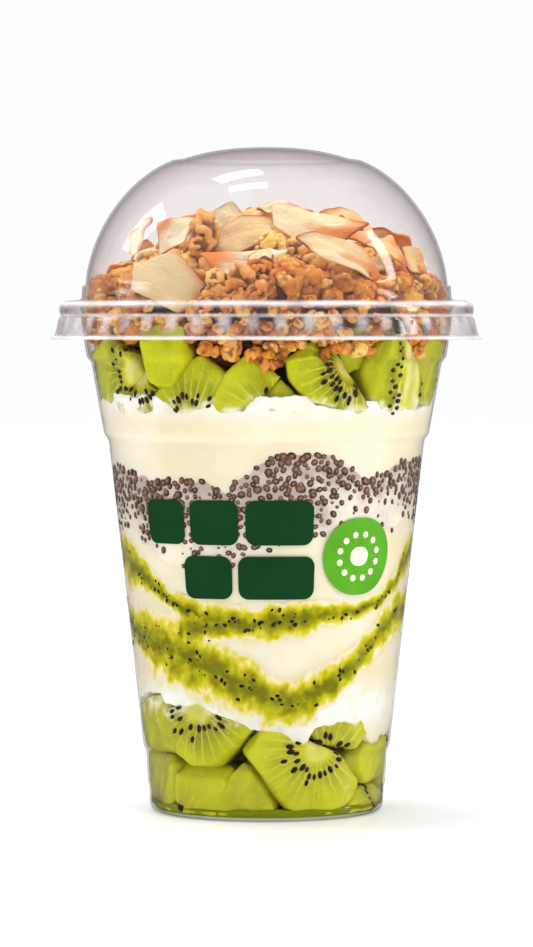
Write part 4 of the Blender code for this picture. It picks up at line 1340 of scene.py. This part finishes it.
def clear_of_flakes(spot, size):
    """Whether a place in millimetres is clear of the coconut and doesn't hide a flake from outside."""
    point = spot * MM
    inwards = Vector((-point.x, -point.y, 0)).normalized()
    for tree in flake_trees:
        if tree.find_nearest(point)[3] < 0.8 * size * MM:
            return False
        for lift in (-0.35 * size * MM, 0.35 * size * MM):
            if tree.ray_cast(point + Vector((0, 0, lift)), inwards, 11 * MM)[0] is not None:
                return False
    return True


def clear_of_fruit(spot, size):
    """Whether a place in millimetres lies above the chunks and clear of them."""
    point = spot * MM
    for tree in chunk_trees:
        if tree.ray_cast(point, Vector((0, 0, 1)))[0] is not None:
            return False
        if tree.find_nearest(point)[3] < 0.5 * size * MM:
            return False
    return True


def free_place(spot, size):
    return clear_of_fruit(spot, size) and clear_of_flakes(spot, size)


def scatter_heap(name, shapes, placed, seed, look):
    """Joins copies of a few shapes, each with its own turn, proportions and shade."""
    chance = random.Random(seed)
    points, faces, toast, crease_shades, start = [], [], [], [], 0
    for spot, size in placed:
        shape_points, shape_faces, shape_crease_shades = chance.choice(shapes)
        matrix = np.array(Matrix.Translation(spot * MM) @ any_turn(chance) @ Matrix.Scale(size * MM, 4))
        points.append(shape_points @ matrix[:3, :3].T + matrix[:3, 3])
        faces += [tuple(corner + start for corner in face) for face in shape_faces]
        start += len(shape_points)
        toast += [chance.uniform(0.1, 1.0)] * len(shape_points)
        crease_shades.append(shape_crease_shades)
    mesh = mesh_of(name, np.concatenate(points), faces)
    add_attribute(mesh, "toast", toast)
    add_attribute(mesh, "crease_shade", np.concatenate(crease_shades))
    return new_piece(name, mesh, look)


golden = granola_look("honey_baked_oats", srgb(120, 46, 2), srgb(236, 148, 42), srgb(255, 208, 112))
nut_brown = granola_look("toasted_walnut", srgb(114, 44, 4), srgb(230, 142, 50), srgb(255, 202, 116))

# The large pieces that show at the front: azimuth, radius, height and half their breadth.
BIG_CLUSTERS = [(14.6, 35, 124.6, 6.2), (34, 36.5, 122.7, 5.0), (9, 32.5, 128.6, 4.0), (3, 25, 134, 4.3),
                (46, 36, 124, 4.4), (-68, 36, 126, 4.8)]
WALNUTS = [(32, 33, 128.8, 4.7), (-13.5, 38, 123.2, 3.7), (-2.2, 38, 123.3, 3.8), (-9, 35.5, 126.8, 3.7),
           (-2, 33, 128.8, 3.2), (16, 26, 133.3, 3.2), (-32, 27.5, 138, 5.0), (-30, 31, 134.4, 3.3),
           (-18.6, 37.5, 126.6, 2.7), (-19.6, 38.5, 122.6, 2.9), (39, 36, 127, 2.7), (8, 39, 119, 2.9),
           (-60, 37, 123, 4.0), (62, 36, 125, 4.4), (75, 36, 127, 4.4), (-6, 39.2, 119.2, 2.6),
           (-33.6, 39, 115.5, 3.3), (-23.6, 39.5, 115.7, 2.8), (-15.7, 39.2, 114, 3.1),
           (-7.7, 39.5, 115.4, 3.0),
           (-1.3, 39.2, 114, 3.0), (7.2, 39.2, 114.3, 3.2), (17.5, 39, 115.3, 3.5), (25, 39.5, 113.5, 2.4),
           (-1, 37.8, 107.3, 3.2), (4.5, 38, 110.6, 3.3), (-12, 38.5, 110.4, 3.3)]
big = [(at(azimuth, radius, height) / MM, size) for azimuth, radius, height, size in BIG_CLUSTERS]
nuts = [(at(azimuth, radius, height) / MM, size) for azimuth, radius, height, size in WALNUTS]
nuts += heap_places(12, 5, 3.6, 5.0, lambda spot, size: spot.y > 5 and free_place(spot, size))
big_shapes = [knot(seed, 5, 44, 1, (0.18, 0.38), (1.08, 0.95, 0.85)) for seed in (51, 52, 53)]
walnut_shapes = [knot(seed, 4, 17, 5, (0.16, 0.27), (1.08, 0.95, 0.82)) for seed in (11, 12, 13, 14)]
cluster_shapes = [knot(seed, 4, 24, 1, (0.24, 0.46), (1.12, 0.95, 0.85)) for seed in range(21, 25)]
small_shapes = [knot(seed, 3, 16, 1, (0.3, 0.5), (1.12, 0.95, 0.85)) for seed in range(25, 30)]
scatter_heap("big_clusters", big_shapes, big, 2, golden)
scatter_heap("walnut_pieces", walnut_shapes, nuts, 3, nut_brown)
clusters = heap_places(120, 6, 2.5, 4.2, lambda spot, size: free_place(spot, size)
                       and apart(spot, size, big + nuts, 0.78))
LARGE = 3.3      # clusters over this size have a finer shape
scatter_heap("oat_clusters", cluster_shapes, [spot for spot in clusters if spot[1] > LARGE], 4, golden)
scatter_heap("oat_knots", small_shapes, [spot for spot in clusters if spot[1] <= LARGE], 14, golden)
crumbs = heap_places(110, 7, 1.2, 2.2, lambda spot, size: free_place(spot, size)
                     and apart(spot, size, big + nuts + clusters, 0.8))
crumb_shapes = [knot(seed, 3, 11, 1, (0.34, 0.56), (1.2, 0.95, 0.8)) for seed in range(31, 36)]
scatter_heap("oat_crumbs", crumb_shapes, crumbs, 5, golden)
# Deeper down, small crumbs fill the space between the large pieces.
rubble = heap_places(560, 8, 1.4, 2.4, free_place, sunk=1.2, packing=0.5)
rubble_shapes = [knot(seed, 2, 8, 1, (0.4, 0.6), (1.2, 0.95, 0.8)) for seed in range(36, 40)]
scatter_heap("oat_rubble", rubble_shapes, rubble, 6, nut_brown)


def core_mesh():
    """The heap's core, a few millimetres inside its surface, with relief in place of finer crumbs."""
    points, faces, rings, around = [], [], 50, 200
    for k in range(rings):
        share = k / (rings - 1)
        for i in range(around):
            azimuth = 360 * i / around
            past_edge = share - 0.72
            reach = 37.0 * (share / 0.72) if past_edge < 0 else 37.0 - 3.0 * past_edge
            flat = at(azimuth, reach, 0) / MM
            height = heap_height(flat.x, flat.y) - 3.6
            if past_edge >= 0:
                height += (107 - height) * past_edge / 0.28
            grain = 1.6 * noise.noise(flat / 2.4 + Vector((0, 0, height / 2.4)))
            points.append(Vector((flat.x * (1 + grain / 45), flat.y * (1 + grain / 45), height + grain)) * MM)
    for k in range(rings - 1):
        for i in range(around):
            j = (i + 1) % around
            faces.append((k * around + i, (k + 1) * around + i, (k + 1) * around + j, k * around + j))
    faces.append(tuple((rings - 1) * around + i for i in reversed(range(around))))
    return mesh_of("granola_core", points, faces)


core = core_mesh()
add_attribute(core, "toast", [0.3] * len(core.vertices))
add_attribute(core, "crease_shade", [0.6] * len(core.vertices))
# Painted shade: the core is coloured dark brown so that the gaps between the pieces look shaded.
shaded = granola_look("shaded_crumbs", srgb(70, 24, 2), srgb(130, 60, 12), srgb(170, 92, 28))
new_piece("granola_core", core, shaded, ["granola"])

# ---- Print on the cup ---------------------------------------------------------------------------
# Two rows of plain rounded bars in dark green, and beside them a light-green badge with a simple slice of
# fruit on it, all screen-printed on the outside of the cup as thin films of ink that follow the wall.

INK = 0.03


def ink_film(name, columns, look):
    """A film on the wall from columns of (azimuth, low, high), as a closed thin body. Marks of the slice
    are a second film over the badge."""
    points, faces, rows = [], [], 6
    start = 0.02 + (INK + 0.01 if "slice" in name else 0)
    for lift in (start, start + INK):
        for azimuth, low, high in columns:
            for k in range(rows + 1):
                height = low + (high - low) * k / rows
                points.append(at(azimuth, outside_radius(height) + lift, height))
    count, step = len(columns) * (rows + 1), rows + 1
    for i in range(len(columns) - 1):
        for k in range(rows):
            a = i * step + k
            faces.append((a, a + 1, a + step + 1, a + step))
            faces.append((count + a, count + a + step, count + a + step + 1, count + a + 1))
        for k, flip in ((0, False), (rows, True)):
            a = i * step + k
            ring = (a, a + step, count + a + step, count + a)
            faces.append(tuple(reversed(ring)) if flip else ring)
    for i, flip in ((0, True), (len(columns) - 1, False)):
        for k in range(rows):
            a = i * step + k
            ring = (a, a + 1, count + a + 1, count + a)
            faces.append(tuple(reversed(ring)) if flip else ring)
    return new_piece(name, mesh_of(name, points, faces), look, smooth=False)


def oval_columns(azimuth, height, half_wide, half_high, corner, count=60):
    """Columns across a shape with round ends: a bar when the corner is small, an oval when it is as
    large as half its height. The sizes are in millimetres."""
    columns = []
    degrees = DEGREES / outside_radius(height)
    for i in range(count + 1):
        x = -half_wide * math.cos(math.pi * i / count)
        inset = max(0.0, abs(x) - (half_wide - corner)) / corner
        half = half_high - corner * (1 - math.sqrt(max(0.0, 1 - inset * inset)))
        columns.append((azimuth + x * degrees, height - max(half, 0.01), height + max(half, 0.01)))
    return columns


def ink(name, colour):
    made, shader = principled(name, Roughness=0.45, Specular_IOR_Level=0.2)
    tone = ramp(made, texture(made, 120, 3), [(0.3, colour), (0.7, [c * 1.2 for c in colour])])
    feed(shader, Base_Color=tone)
    return made


dark_green, light_green = ink("dark_green_ink", srgb(0, 62, 22)), ink("light_green_ink", srgb(84, 160, 22))
pale_ink = ink("pale_ink", srgb(240, 236, 206))
# Each row's name, height and half height, then its bars' azimuths and half widths.
ROWS = (("upper", 70.2, 5.2, ((-41.5, 5.6), (-20.2, 6.0), (5.0, 8.0))),
        ("lower", 57.4, 5.0, ((-23.5, 6.0), (3.9, 8.9))))
BADGE = (38.4, 62.1)      # azimuth and height
BADGE_RADIUS = 34.7       # of the cup there
TICKS = 12
for row, height, half, bars in ROWS:
    for number, (azimuth, half_wide) in enumerate(bars):
        bar = oval_columns(azimuth, height, half_wide, half, 2.4)
        ink_film("print_%s_%d" % (row, number + 1), bar, dark_green)
ink_film("print_badge", oval_columns(*BADGE, 9.8, 9.0, 8.99), light_green)
ink_film("print_slice_core", oval_columns(*BADGE, 2.6, 2.2, 2.19), pale_ink)
for number in range(TICKS):
    turn = 2 * math.pi * (number + 0.5) / TICKS
    azimuth = BADGE[0] + 5.6 * math.cos(turn) * DEGREES / BADGE_RADIUS
    ink_film("print_slice_tick_%02d" % (number + 1),
             oval_columns(azimuth, BADGE[1] + 5.2 * math.sin(turn), 0.75, 0.75, 0.74, 14), pale_ink)
